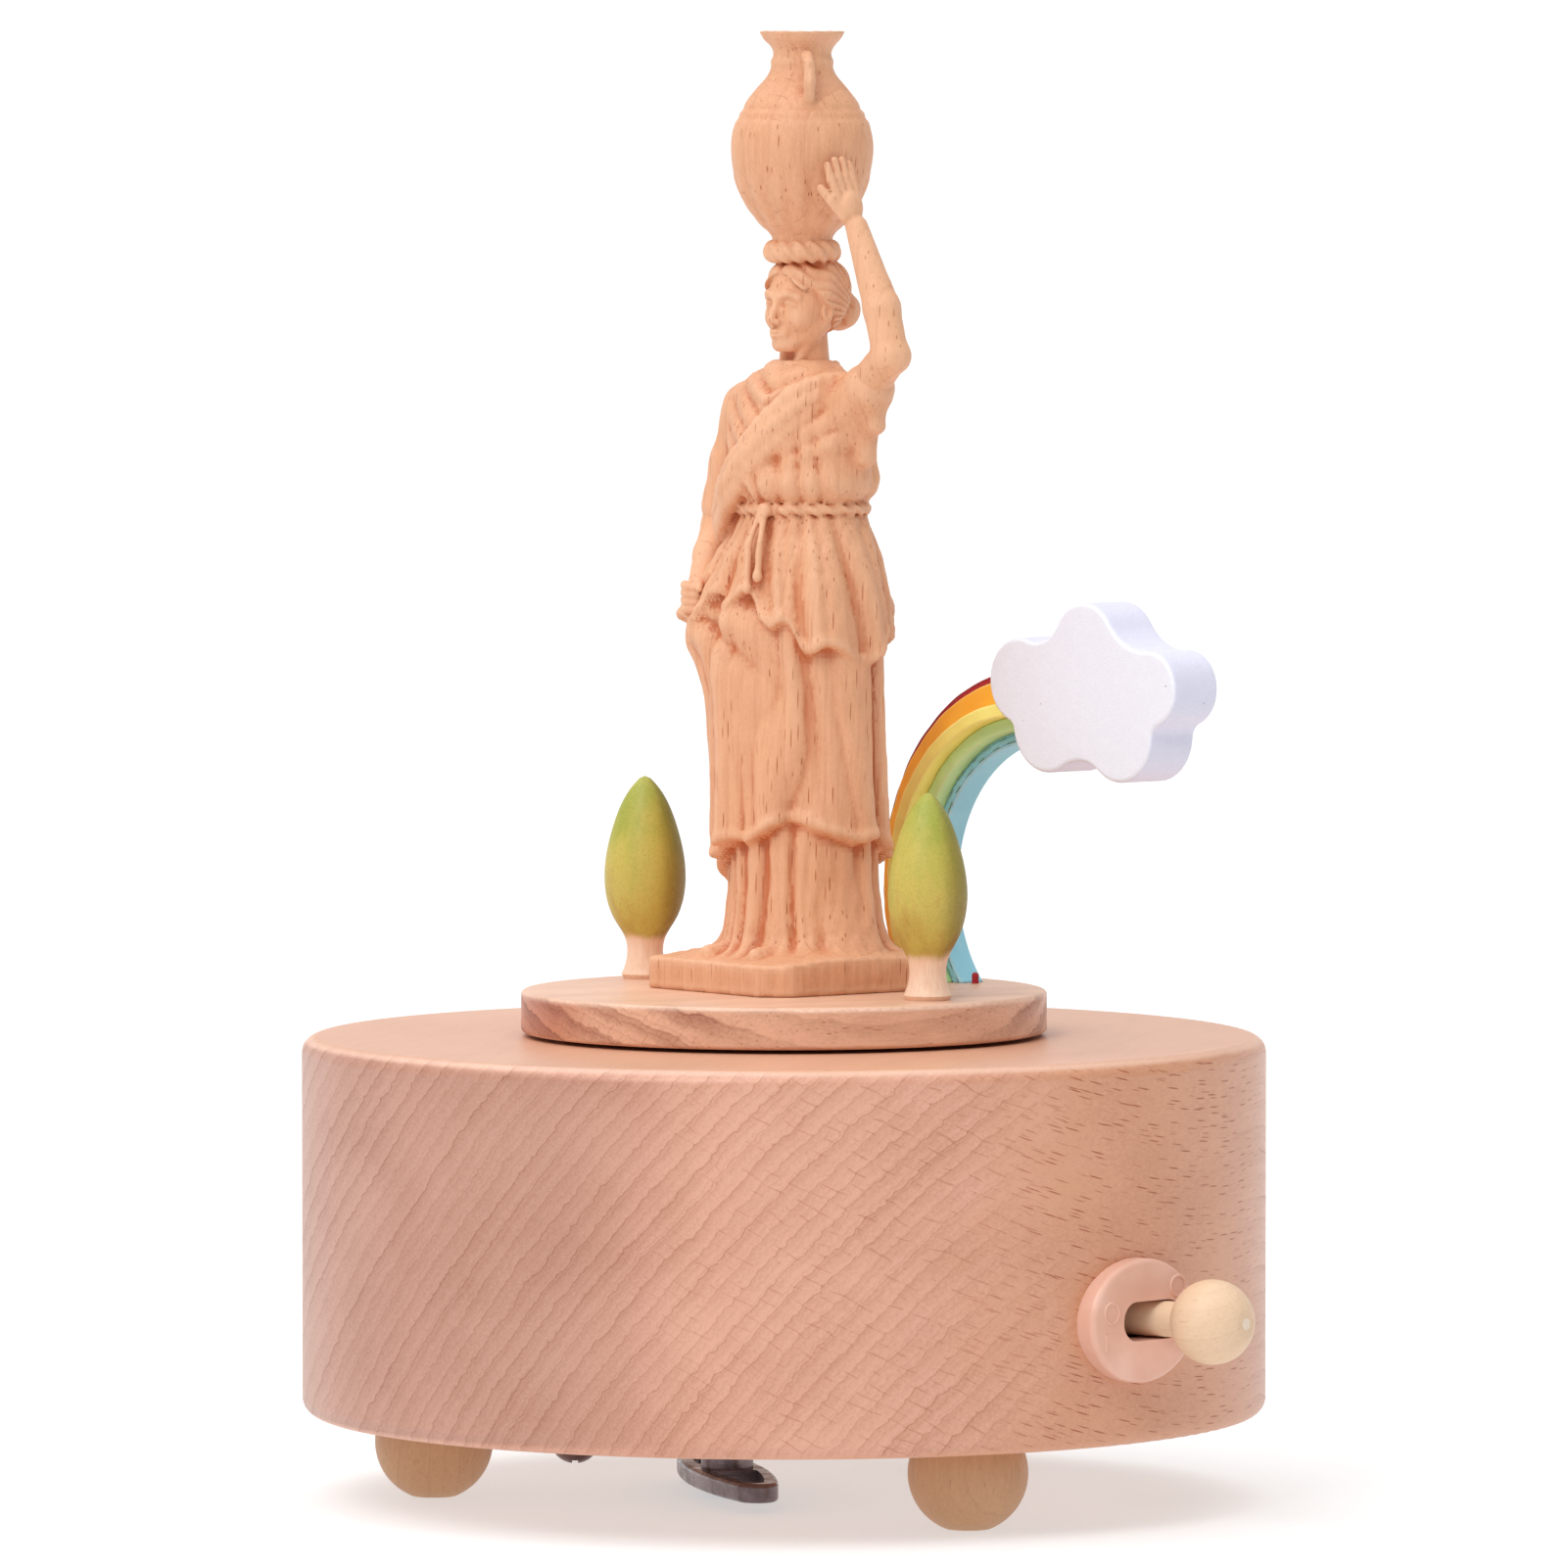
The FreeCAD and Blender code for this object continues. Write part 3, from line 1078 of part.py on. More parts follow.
def stick_end():
    return BALL_FROM_PIVOT + BALL_R * 0.2


def ball_flat():
    return BALL_FROM_PIVOT + BALL_R * 0.94


def lever_stick():
    start = LEVER_HUB_R + SIDE_CLEAR
    return in_lever(cut(cyl_x(STICK_R, start, stick_end(), 0, 0), cyl_x(SPIGOT_R, start, SPIGOT_LEN, 0, 0)))


def lever_ball():
    ball = Part.makeSphere(BALL_R, Vector(BALL_FROM_PIVOT, 0, 0))
    ball = ball.common(box(0, ball_flat(), -BALL_R, BALL_R, -BALL_R, BALL_R))
    ball = cut(ball, cyl_x(STICK_R, 0, stick_end(), 0, 0))
    return in_lever(cut(ball, cyl_x(TIP_PIN_R, BALL_FROM_PIVOT, ball_flat(), 0, 0)))


def lever_tip_pin():
    return in_lever(cyl_x(TIP_PIN_R, stick_end(), ball_flat() + 0.1, 0, 0))


def sub_parts():
    parts = {
        "drum_case": drum_case(),
        "bottom_cover": bottom_cover(),
        "foot_dowels": foot_dowels(),
        "cover_screws": cover_screws(),
        "lever_plate": lever_plate(),
        "spindle_bush": spindle_bush(),
        "slip_washer": slip_washer(),
        "bedplate": bedplate(),
        "movement_screws": movement_screws(),
        "bridge_posts": bridge_posts(),
        "movement_bridge": movement_bridge(),
        "cylinder_bracket_left": cylinder_bracket_left(),
        "cylinder_bracket_right": cylinder_bracket_right(),
        "comb_block": comb_block(),
        "comb": comb(),
        "governor_frame": governor_frame(),
        "idler_bracket": idler_bracket(),
        "click_pawl": click_pawl(),
        "lever_pivot_post": lever_pivot_post(),
        "turntable_disc": turntable_disc(),
        "turntable_hub": turntable_hub(),
        "spindle": spindle(),
        "spindle_gear": spindle_gear(),
        "carved_figure": carved_figure(),
        "figure_screws": figure_screws(),
        "tree_left": tree(TREE_LEFT_X, TREE_LEFT_R),
        "tree_right": tree(TREE_RIGHT_X, TREE_RIGHT_R),
        "tree_dowels": tree_dowels(),
        "cloud": cloud(),
        "rainbow_peg": rainbow_peg(),
        "barrel_drum": barrel_drum(),
        "barrel_lid": barrel_lid(),
        "barrel_gear": barrel_gear(),
        "mainspring": mainspring(),
        "winding_arbor": winding_arbor(),
        "winding_key": winding_key(),
        "ratchet_wheel": ratchet_wheel(),
        "pin_cylinder": pin_cylinder(),
        "cylinder_arbor": cylinder_arbor(),
        "cylinder_pinion": cylinder_pinion(),
        "cylinder_gear": cylinder_gear(),
        "idler_shaft": idler_shaft(),
        "idler_pinion": idler_pinion(),
        "worm_wheel": worm_wheel(),
        "governor_worm": governor_worm(),
        "brake_disc": brake_disc(),
        "governor_fan": governor_fan(),
        "stop_arm": stop_arm(),
        "lever_stick": lever_stick(),
        "lever_ball": lever_ball(),
        "lever_tip_pin": lever_tip_pin(),
    }
    for name, angle in zip(("foot_right", "foot_back", "foot_left"), foot_angles()):
        parts[name] = foot(angle)
    for index, colour in enumerate(BAND_NAMES):
        parts["rainbow_" + colour] = in_scene(rainbow_band(index))
    return parts


os.makedirs("parts", exist_ok=True)
for node, shape in sub_parts().items():
    shape.exportStep("parts/" + node + ".step")
    print(node, "solids", len(shape.Solids), "valid", shape.isValid(), "volume", round(shape.Volume, 2))
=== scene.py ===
# Looks of the wooden music box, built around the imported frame.
# Lengths are written in millimetres and turned into metres by MM. +Z is up and the camera is on the -Y side.

import json
import math
from itertools import product

import bmesh
import bpy
import numpy as np
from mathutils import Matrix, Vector


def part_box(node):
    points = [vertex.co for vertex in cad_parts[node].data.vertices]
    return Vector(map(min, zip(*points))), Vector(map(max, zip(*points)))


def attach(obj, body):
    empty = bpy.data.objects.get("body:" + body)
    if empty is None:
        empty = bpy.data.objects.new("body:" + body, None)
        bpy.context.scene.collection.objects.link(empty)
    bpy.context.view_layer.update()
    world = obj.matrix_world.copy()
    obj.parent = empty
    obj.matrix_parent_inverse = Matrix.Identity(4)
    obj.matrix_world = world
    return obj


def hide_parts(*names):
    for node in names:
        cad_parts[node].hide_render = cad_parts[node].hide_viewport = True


MM = 0.001

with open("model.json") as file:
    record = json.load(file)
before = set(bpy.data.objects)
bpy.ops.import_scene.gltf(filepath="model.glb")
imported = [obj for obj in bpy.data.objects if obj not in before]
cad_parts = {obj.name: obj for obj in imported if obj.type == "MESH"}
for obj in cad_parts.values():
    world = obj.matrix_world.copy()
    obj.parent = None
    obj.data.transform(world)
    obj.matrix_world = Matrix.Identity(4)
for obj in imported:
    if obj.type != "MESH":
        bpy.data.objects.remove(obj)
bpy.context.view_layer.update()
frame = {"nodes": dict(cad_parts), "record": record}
nodes = frame["nodes"]
scene = bpy.context.scene

# Camera, fitted to the drum's and the disc's edges
CAMERA_DISTANCE = 1460.0
CAMERA_HEIGHT = 160.2
CAMERA_PITCH_DEG = 3.09
FOCAL_PIXELS = 13094.0
IMAGE_PIXELS = 1601.0
SENSOR = 36.0
CLIP_END = 50.0

DISC_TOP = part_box("turntable_disc")[1].z / MM
DRUM_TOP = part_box("drum_case")[1].z / MM

# What stands on the disc is described square to the X axis, and is turned by this at rest
SCENE_DEG = -48.0

# The lever points out of the drum at an angle
LEVER_DEG = -45.0
LEVER_OUT = Vector((math.cos(math.radians(LEVER_DEG)), math.sin(math.radians(LEVER_DEG)), 0.0))
LEVER_ASIDE = Vector((-LEVER_OUT.y, LEVER_OUT.x, 0.0))

WHITE = (1.0, 1.0, 1.0, 1.0)


def to_linear(code):
    """Linear colour of a hex colour code."""
    channels = [int(code[i:i + 2], 16) / 255 for i in (0, 2, 4)]
    return [c / 12.92 if c <= 0.04045 else ((c + 0.055) / 1.055) ** 2.4 for c in channels] + [1.0]


class Value:
    """What a node gives, with ordinary arithmetic."""

    def __init__(self, tree, socket):
        self.tree = tree
        self.socket = socket

    def __add__(self, other):
        return self.tree.math("ADD", self, other)

    def __sub__(self, other):
        return self.tree.math("SUBTRACT", self, other)

    def __rsub__(self, other):
        return self.tree.math("SUBTRACT", other, self)

    def __mul__(self, other):
        return self.tree.math("MULTIPLY", self, other)

    def __truediv__(self, other):
        return self.tree.math("DIVIDE", self, other)

    def __abs__(self):
        return self.tree.math("ABSOLUTE", self)


class Tree:
    """Short way to write the nodes of a material or, with world set, of the surroundings.

    Colours are hex codes."""

    def __init__(self, name, world=False):
        self.owner = (bpy.data.worlds if world else bpy.data.materials).new(name)
        self.owner.use_nodes = True
        self.nodes = self.owner.node_tree.nodes
        self.links = self.owner.node_tree.links
        self.shader = self.nodes["Background" if world else "Principled BSDF"]

    def put(self, socket, value):
        if isinstance(value, Value):
            self.links.new(value.socket, socket)
        else:
            socket.default_value = to_linear(value) if isinstance(value, str) else value

    def set(self, **values):
        """Inputs of the shader, with _ for the spaces in their names."""
        for key, value in values.items():
            self.put(self.shader.inputs[key.replace("_", " ")], value)

    def node(self, kind, inputs=(), **settings):
        made = self.nodes.new(kind)
        for key, value in settings.items():
            setattr(made, key, value)
        for key, value in dict(inputs).items():
            self.put(made.inputs[key], value)
        return made

    def value(self, kind, output, inputs=(), **settings):
        """One output of a new node."""
        return Value(self, self.node(kind, inputs, **settings).outputs[output])

    def math(self, operation, a, b=0.0):
        return self.value("ShaderNodeMath", 0, {0: a, 1: b}, operation=operation)

    def vector(self, operation, a, b=(0.0, 0.0, 0.0)):
        output = "Value" if operation in ("DOT_PRODUCT", "LENGTH") else "Vector"
        return self.value("ShaderNodeVectorMath", output, {0: a, 1: b}, operation=operation)

    def scaled(self, vector, sizes):
        """Vector divided by one size, or by a size along each axis."""
        sizes = sizes if isinstance(sizes, tuple) else (sizes,) * 3
        return self.vector("MULTIPLY", vector, tuple(1.0 / size for size in sizes))

    def split(self, vector):
        made = self.node("ShaderNodeSeparateXYZ", {"Vector": vector})
        return [Value(self, socket) for socket in made.outputs]

    def place(self):
        """Position in the part's frame, in millimetres."""
        return self.scaled(self.value("ShaderNodeTexCoord", "Object"), MM)

    def normal(self):
        return self.value("ShaderNodeTexCoord", "Normal")

    def facing(self, direction):
        """How squarely the surface faces a direction, from -1 to 1."""
        return self.vector("DOT_PRODUCT", self.normal(), direction)

    def kept(self, name):
        """Value that the mesh keeps for each of its points."""
        return self.value("ShaderNodeAttribute", "Fac", attribute_name=name)

    def in_frame(self, place, *axes):
        """Position along each of three directions."""
        along = [self.vector("DOT_PRODUCT", place, axis) for axis in axes]
        return self.value("ShaderNodeCombineXYZ", 0, dict(enumerate(along)))

    def noise(self, vector, sizes, detail=2.0, roughness=0.5):
        return self.value("ShaderNodeTexNoise", "Fac", {"Vector": self.scaled(vector, sizes), "Scale": 1.0,
                                                        "Detail": detail, "Roughness": roughness})

    def spread(self, noise, to_low=0.0, to_high=1.0, smooth=True):
        """Noise, which mostly lies from 0.3 to 0.7, mapped to to_low..to_high."""
        return self.fade(noise, 0.3, 0.7, to_low, to_high, smooth)

    def cells(self, vector):
        """Nearest point of a jittered lattice: how far it is, where it is, and a number picked for it."""
        made = self.node("ShaderNodeTexVoronoi", {"Vector": vector, "Scale": 1.0})
        distance, position, colour = (Value(self, made.outputs[k]) for k in ("Distance", "Position", "Color"))
        return distance, position, self.split(colour)[0]

    def fade(self, value, low, high, to_low=0.0, to_high=1.0, smooth=True):
        """Value mapped from low..high to to_low..to_high and held at the ends."""
        inputs = {"Value": value, "From Min": low, "From Max": high, "To Min": to_low, "To Max": to_high}
        return self.value("ShaderNodeMapRange", "Result", inputs,
                          interpolation_type="SMOOTHSTEP" if smooth else "LINEAR")

    def flecks(self, grain, cell, half):
        """Small soft ellipsoids, one in each uneven cell, of uneven strength."""
        spots = self.scaled(grain, cell)
        position, pick = self.cells(spots)[1:]
        offset = self.vector("SUBTRACT", spots, position)
        offset = self.vector("MULTIPLY", offset, tuple(c / h for c, h in zip(cell, half)))
        reach = self.vector("LENGTH", offset)
        return self.fade(reach, 0.5, 1.1, 1.0, 0.0) * self.fade(pick, 0.1, 0.6)

    def lines(self, count, thin, body):
        """Soft-edged line of uneven strength at each whole count, with a shadow before it.

        The line is thinner as thin nears 1, and body is the shadow's strength."""
        share = self.math("FRACT", count)
        luck = self.value("ShaderNodeTexWhiteNoise", "Value", {"W": self.math("FLOOR", count)},
                          noise_dimensions="1D")
        width = 1 - thin
        line = self.fade(share, thin, thin + 0.6 * width)
        line = line * self.fade(share, thin + 0.65 * width, 1.0, 1.0, 0.0)
        rise = self.fade(share, 0.2, thin, 0.0, body) * self.fade(share, 0.94, 1.0, 1.0, 0.0)
        return self.math("MAXIMUM", line, rise) * self.fade(luck, 0.0, 1.0, 0.45, 1.0, smooth=False)

    def mix(self, factor, a, b, blend="MIX"):
        return self.value("ShaderNodeMix", 2, {0: factor, 6: a, 7: b}, data_type="RGBA", blend_type=blend)

    def tinted(self, colour, code):
        return self.mix(1.0, colour, code, "MULTIPLY")

    def steps(self, value, stops):
        made = self.node("ShaderNodeValToRGB", {"Fac": value})
        ramp = made.color_ramp
        while len(ramp.elements) < len(stops):
            ramp.elements.new(0.5)
        for element, (position, code) in zip(ramp.elements, stops):
            element.position = position
            element.color = to_linear(code)
        return Value(self, made.outputs["Color"])

    def bump(self, height, depth, strength=1.0):
        """Normal for a height from 0 to 1 over depth, in millimetres."""
        return self.value("ShaderNodeBump", "Normal", {"Height": height, "Distance": depth * MM,
                                                       "Strength": strength})


def rotated(x, y, degrees):
    c, s = math.cos(math.radians(degrees)), math.sin(math.radians(degrees))
    return x * c - y * s, x * s + y * c


def level_direction(azimuth):
    """Level direction that leans azimuth degrees to the right of the camera's side."""
    return Vector((math.sin(math.radians(azimuth)), -math.cos(math.radians(azimuth)), 0.0))


def across_level(azimuth, rise):
    """Direction across rings that show as lines rising by rise degrees to the right."""
    right = Vector((math.cos(math.radians(azimuth)), math.sin(math.radians(azimuth)), 0.0))
    return Vector((0, 0, 1)) * math.cos(math.radians(rise)) - right * math.sin(math.radians(rise))


def plate_axes(normal):
    """Two directions in a plane, the first of them level, and the plane's normal."""
    normal = normal.normalized()
    level = normal.cross(Vector((0, 0, 1))).normalized()
    return level, normal.cross(level), normal


# Waves that push the wood's rings about: size along the fibre, across the rings and aside, roughness, push
RING_WAVES = [((60, 16, 22), 0.5, 4.0), ((14, 2.6, 2.6), 0.6, 2.2), ((7, 1.0, 0.8), 0.6, 0.8)]
FINE_RINGS = 2.3
FINE_RING_STRENGTH = 0.3
RAY_GAP = 1.4
RAY_WANDER = 2.0
MARK_TINT = "C48A5E"
# Colour of the painted highlight along a top edge
RIM_HIGHLIGHT_COLOUR = "F6DCC8"
# Tints of the painted shade in carved hollows and of the painted highlight on carved ridges
HOLLOW_SHADE_TINT = "DDA98A"
RIDGE_HIGHLIGHT_COLOUR = "F0C6A4"
WOOD_RELIEF = 0.05


def beech(name, fibre, across, light, dark, spacing, pith=400.0, wave=1.0, beads=0.0, thin=0.84, body=0.3,
          contrast=1.0, ray_side=None, ray_peak=None, rays=0.3, dash=0.85, dash_cell=(2.9, 0.6, 0.6),
          dash_half=(1.15, 0.1, 0.1), end_side=None, end_reach=(0.42, 0.8), side_rings=1.0,
          side_tint="FFFFFF", shaded_side=None, shaded_reach=(0.6, 0.86), side_shade_tint="E0E0E3", highlight_rim=None,
          carved=False, streak=1.0, roughness=0.47, gloss=0.38, coat=0.0):
    """Solid beech. fibre is the direction of the grain and across the direction out from the pith.

    Where the surface faces end_side it shows end grain, with rings and rays, and elsewhere side grain, with
    short dashes and side_rings of the rings' strength. Rays lie in planes across ray_side, beads deep in the
    rings' waves, and are strongest where the surface faces ray_peak. shaded_side is the direction faced by
    the side that is darkened as painted shade, and highlight_rim the height of a pale band painted along the
    top edge as a painted highlight. carved wood gets painted shade in its hollows and a painted highlight on
    its ridges."""
    fibre = Vector(fibre).normalized()
    across = Vector(across)
    across = (across - fibre * across.dot(fibre)).normalized()
    aside = fibre.cross(across)
    tree = Tree(name)
    place = tree.place()
    grain = tree.in_frame(place, fibre, across, aside)
    plates = tree.in_frame(place, *plate_axes(Vector(ray_side or aside)))

    # how squarely the surface cuts the fibres: end grain 1, side grain 0
    blotch = tree.noise(place, (9, 9, 5))
    end_facing = abs(tree.facing(Vector(end_side or fibre).normalized()))
    end_facing = end_facing + tree.spread(blotch, -0.08, 0.08, smooth=False)
    end_grain = tree.fade(end_facing, *end_reach)

    # rings round the pith, pushed about by waves and hung between the rays
    out, side = tree.split(grain)[1:]
    reach = out + pith
    radius = tree.math("SQRT", reach * reach + side * side)
    for sizes, wave_roughness, push in RING_WAVES:
        radius = radius + tree.noise(grain, sizes, roughness=wave_roughness) * (push * wave)
    ray_count = (tree.split(plates)[2] + tree.noise(plates, (7, 7, 3.5)) * RAY_WANDER) / RAY_GAP
    ray_share = abs(tree.math("FRACT", ray_count) - 0.5)
    count = (radius - ray_share * ray_share * (4.0 * beads)) / spacing
    ring = tree.lines(count, thin, body) + tree.lines(count * FINE_RINGS, 0.7, 0.3) * FINE_RING_STRENGTH
    ring = ring * tree.fade(end_grain, 0.0, 1.0, side_rings, 1.0, smooth=False)

    # rays: thin lines here and there on end grain, and short dark dashes on side grain
    patch = tree.noise(plates, (2.4, 2.4, 0.9), 1.0)
    ray = tree.fade(ray_share, 0.42, 0.485) * tree.fade(patch, 0.47, 0.62) * tree.fade(end_grain, 0.1, 0.4)
    if ray_peak:
        ray = ray * tree.fade(tree.facing(ray_peak), 0.5, 0.97, 0.15, 1.0)
    dashes = tree.flecks(plates if ray_side else grain, dash_cell, dash_half)
    dashes = dashes * tree.fade(end_grain, 0.0, 0.9, 1.0, 0.06)
    if ray_side:
        dashes = dashes * tree.fade(abs(tree.split(tree.normal())[2]), 0.3, 0.8, 1.0, 0.1)

    streaks = tree.noise(grain, (9.0, 0.35, 0.35), 3.0, 0.6)
    mottle = tree.noise(grain, (30, 14, 14), 3.0, 0.55)
    dust = tree.noise(grain, (0.5, 0.22, 0.22), 2.0, 0.7)
    shade = ring * (0.7 * contrast)
    shade = shade + tree.fade(streaks, 0.3, 0.75, -0.12 * streak, 0.16 * streak, smooth=False)
    shade = shade + tree.spread(mottle, -0.14, 0.16, smooth=False)
    shade = shade + tree.spread(dust, -0.1, 0.1, smooth=False)

    colour = tree.mix(tree.fade(shade, -0.1, 1.1, smooth=False), light, dark)
    colour = tree.mix(end_grain, tree.tinted(colour, side_tint), colour)
    # Painted shade: the wood is darkened where the surface faces this direction.
    if shaded_side:
        side_shade = tree.fade(tree.facing(shaded_side), *shaded_reach)
        colour = tree.mix(side_shade, colour, tree.tinted(colour, side_shade_tint))
    marks = tree.math("MAXIMUM", dashes * dash, ray * rays)
    colour = tree.mix(marks, colour, tree.tinted(colour, MARK_TINT))
    # Painted highlight: a pale band along the top edge, where the rounded edge catches the light.
    if highlight_rim is not None:
        level = abs(tree.split(place)[2] - highlight_rim)
        colour = tree.mix(tree.fade(level, 0.0, 0.55, 0.3, 0.0), colour, RIM_HIGHLIGHT_COLOUR)
    # Painted shade in the hollows of the carving and a painted highlight on its ridges.
    if carved:
        hollow = tree.kept("hollow")
        colour = tree.mix(tree.fade(hollow, 0.0, 1.1), colour, tree.tinted(colour, HOLLOW_SHADE_TINT))
        colour = tree.mix(tree.fade(hollow, -1.0, -0.1, 0.25, 0.0), colour, RIDGE_HIGHLIGHT_COLOUR)

    dips = dashes * 0.4 + ring * 0.18 + streaks * 0.25
    tree.set(Base_Color=colour, Normal=tree.bump(1.0 - dips, WOOD_RELIEF, 0.55),
             Roughness=tree.fade(shade, 0.0, 1.0, roughness - 0.03, roughness + 0.12),
             Specular_IOR_Level=gloss, Coat_Weight=coat, Coat_Roughness=0.3)
    return tree.owner


# How far below the top the painted highlight along the edge runs
RIM_HIGHLIGHT_DROP = 0.3


def drum_wood():
    # Painted shade darkens the drum's left side, and a painted highlight runs along its top edge.
    return beech("beech_drum", level_direction(-14), across_level(-14, 54), "DEA68E", "A25E3A", 2.1,
                 pith=260.0, wave=0.5, beads=0.13, thin=0.86, body=0.38, contrast=0.98,
                 ray_side=(0.45, -0.2, 0.85), ray_peak=level_direction(32), rays=0.42, dash=0.95,
                 dash_cell=(2.8, 2.8, 0.62), dash_half=(1.25, 1.25, 0.085), end_side=level_direction(-38),
                 end_reach=(0.2, 0.62), side_rings=0.06, side_tint="F7F0DE", shaded_side=level_direction(-60),
                 highlight_rim=DRUM_TOP - RIM_HIGHLIGHT_DROP, roughness=0.42, gloss=0.5, coat=0.15)


def cover_wood():
    return beech("beech_cover", (1, 0.25, 0), (0.1, 0.3, 1), "DDAE90", "B98263", 5.0, pith=60.0)


def disc_wood():
    # Painted shade darkens the disc's far left side, and a painted highlight runs along its top edge.
    return beech("beech_disc", level_direction(-66), across_level(-66, -28), "E9B899", "8E4A30", 3.1,
                 pith=70.0, wave=0.7, thin=0.8, body=0.75, contrast=1.5, dash=0.6, side_rings=0.25,
                 shaded_side=level_direction(-78), shaded_reach=(0.82, 0.97), side_shade_tint="DDB8A8",
                 highlight_rim=DISC_TOP - RIM_HIGHLIGHT_DROP, roughness=0.43, gloss=0.5, coat=0.15)


def figure_wood():
    # Its hollows get painted shade and its ridges a painted highlight.
    return beech("beech_figure", (0.02, 0.01, 1), (0.8, -0.6, 0.05), "E4AB84", "B26C48", 3.6, pith=45.0,
                 wave=0.5, contrast=0.4, dash=0.85, dash_cell=(3.4, 0.62, 0.62), dash_half=(1.5, 0.1, 0.1),
                 side_rings=0.9, carved=True, roughness=0.55)


def turned_wood(name, fibre, light, dark, spacing):
    """Pale turned wood with faint lathe rings across its fibre."""
    level_fibre = abs(fibre[2]) < 0.5
    across = Vector(fibre).cross(Vector((0.3, 0.2, 0.9) if level_fibre else (0.3, -1, 0)))
    return beech(name, fibre, across, light, dark, spacing, pith=12.0, wave=0.35, contrast=0.35, dash=0.25,
                 side_rings=0.9, streak=0.8, rays=0.1, roughness=0.5)


def tree_paint():
    """Green stain over a turned tree, thin towards its foot, with a bare trunk and painted shade on the side
    that faces right.
    """
    tree = Tree("green_tree")
    place = tree.place()
    height = tree.split(place)[2] - DISC_TOP
    cloudy = tree.noise(place, (6.0, 6.0, 9.0), 3.0, 0.6)
    streaks = tree.noise(place, (0.9, 0.9, 7.0))
    speck = tree.noise(place, 0.28, roughness=0.7)
    level = tree.fade(height, 3.0, 24.0, smooth=False) + tree.spread(cloudy, -0.22, 0.22)
    level = level + tree.spread(streaks, -0.07, 0.07)
    stain = tree.steps(level, [(0.0, "BA9A46"), (0.35, "C8B656"), (0.7, "B5AE4A"), (1.0, "A0A43E")])
    # Painted shade: the side of the tree that faces right is darkened.
    tree_shaded_side = tree.fade(tree.facing(level_direction(78)), 0.45, 0.95)
    stain = tree.mix(tree_shaded_side, stain, tree.tinted(stain, "C0BC9E"))
    stain = tree.mix(tree.fade(speck, 0.52, 0.68, 0.0, 0.22), stain, "857A2C")
    stain = tree.mix(tree.fade(speck, 0.28, 0.42, 0.2, 0.0), stain, "DBD07E")
    bare_grain = tree.noise(place, (0.35, 0.35, 5.0), roughness=0.6)
    bare = tree.mix(tree.fade(bare_grain, 0.35, 0.7), "F5D4B9", "EFC6A8")
    wander = height + tree.spread(cloudy, -0.5, 0.5)
    colour = tree.mix(tree.fade(wander, 4.3, 5.6), bare, stain)
    tree.set(Base_Color=colour, Normal=tree.bump(speck * 0.6 + streaks * 0.4, 0.06, 0.5),
             Roughness=tree.spread(speck, 0.42, 0.6))
    return tree.owner


def paint(name, code, deep):
    """Matt paint on wood: slightly uneven, grainy, and thin and pale along its edges where the mesh says so,
    partly worn paint and partly a painted highlight.
    """
    tree = Tree(name)
    place = tree.place()
    grain = tree.noise(place, 0.28, 3.0, 0.7)
    patches = tree.noise(place, 5.0)
    colour = tree.mix(tree.spread(patches, 0.0, 0.55), code, deep)
    colour = tree.mix(tree.fade(grain, 0.55, 0.75, 0.0, 0.35), colour, deep)
    # Pale edges: partly paint worn thin, partly a painted highlight where the edges catch the light.
    wear_and_highlight = tree.kept("edge") * tree.fade(grain, 0.35, 0.6, 0.0, 0.22)
    tree.set(Base_Color=tree.mix(wear_and_highlight, colour, "F0D9B8"), Normal=tree.bump(grain, 0.07, 0.6), Roughness=0.6)
    return tree.owner


def cloud_paint():
    """White brushed paint with a few dark specks, with painted shade on the cloud's sides."""
    tree = Tree("white_cloud")
    place = tree.place()
    brush = tree.noise(place, (0.25, 4.0, 0.18), roughness=0.6)
    lumps = tree.noise(place, 1.6, 3.0, 0.6)
    distance, _, pick = tree.cells(tree.scaled(place, 3.4))
    speck = tree.fade(distance, 0.02, 0.05, 1.0, 0.0) * tree.fade(pick, 0.55, 0.6)
    colour = tree.mix(tree.spread(brush), "EDEEF7", "E7E8F2")
    colour = tree.mix(tree.fade(lumps, 0.4, 0.7, 0.0, 0.4), colour, "E6E6F0")
    colour = tree.mix(speck * 0.7, colour, "8F8688")
    # Painted shade: the cloud's sides, away from its front, are made darker and cooler.
    front = Vector((*rotated(0, -1, SCENE_DEG), 0))
    square = abs(tree.facing(front))
    colour = tree.mix(tree.fade(square, 0.4, 0.8), tree.tinted(colour, "F0EFF8"), colour)
    tree.set(Base_Color=colour, Normal=tree.bump(brush * 0.5 + lumps * 0.5, 0.08, 0.45), Roughness=0.62)
    return tree.owner


def plastic(name, code, deep, roughness=0.38):
    tree = Tree(name)
    place = tree.place()
    flow = tree.noise(place, 6, 3.0)
    grain = tree.noise(place, 0.2, roughness=0.6)
    tree.set(Base_Color=tree.mix(tree.spread(flow), code, deep), Normal=tree.bump(grain, 0.02, 0.3),
             Roughness=tree.spread(grain, roughness - 0.05, roughness + 0.08),
             Subsurface_Weight=0.06, Subsurface_Scale=0.6 * MM)
    return tree.owner


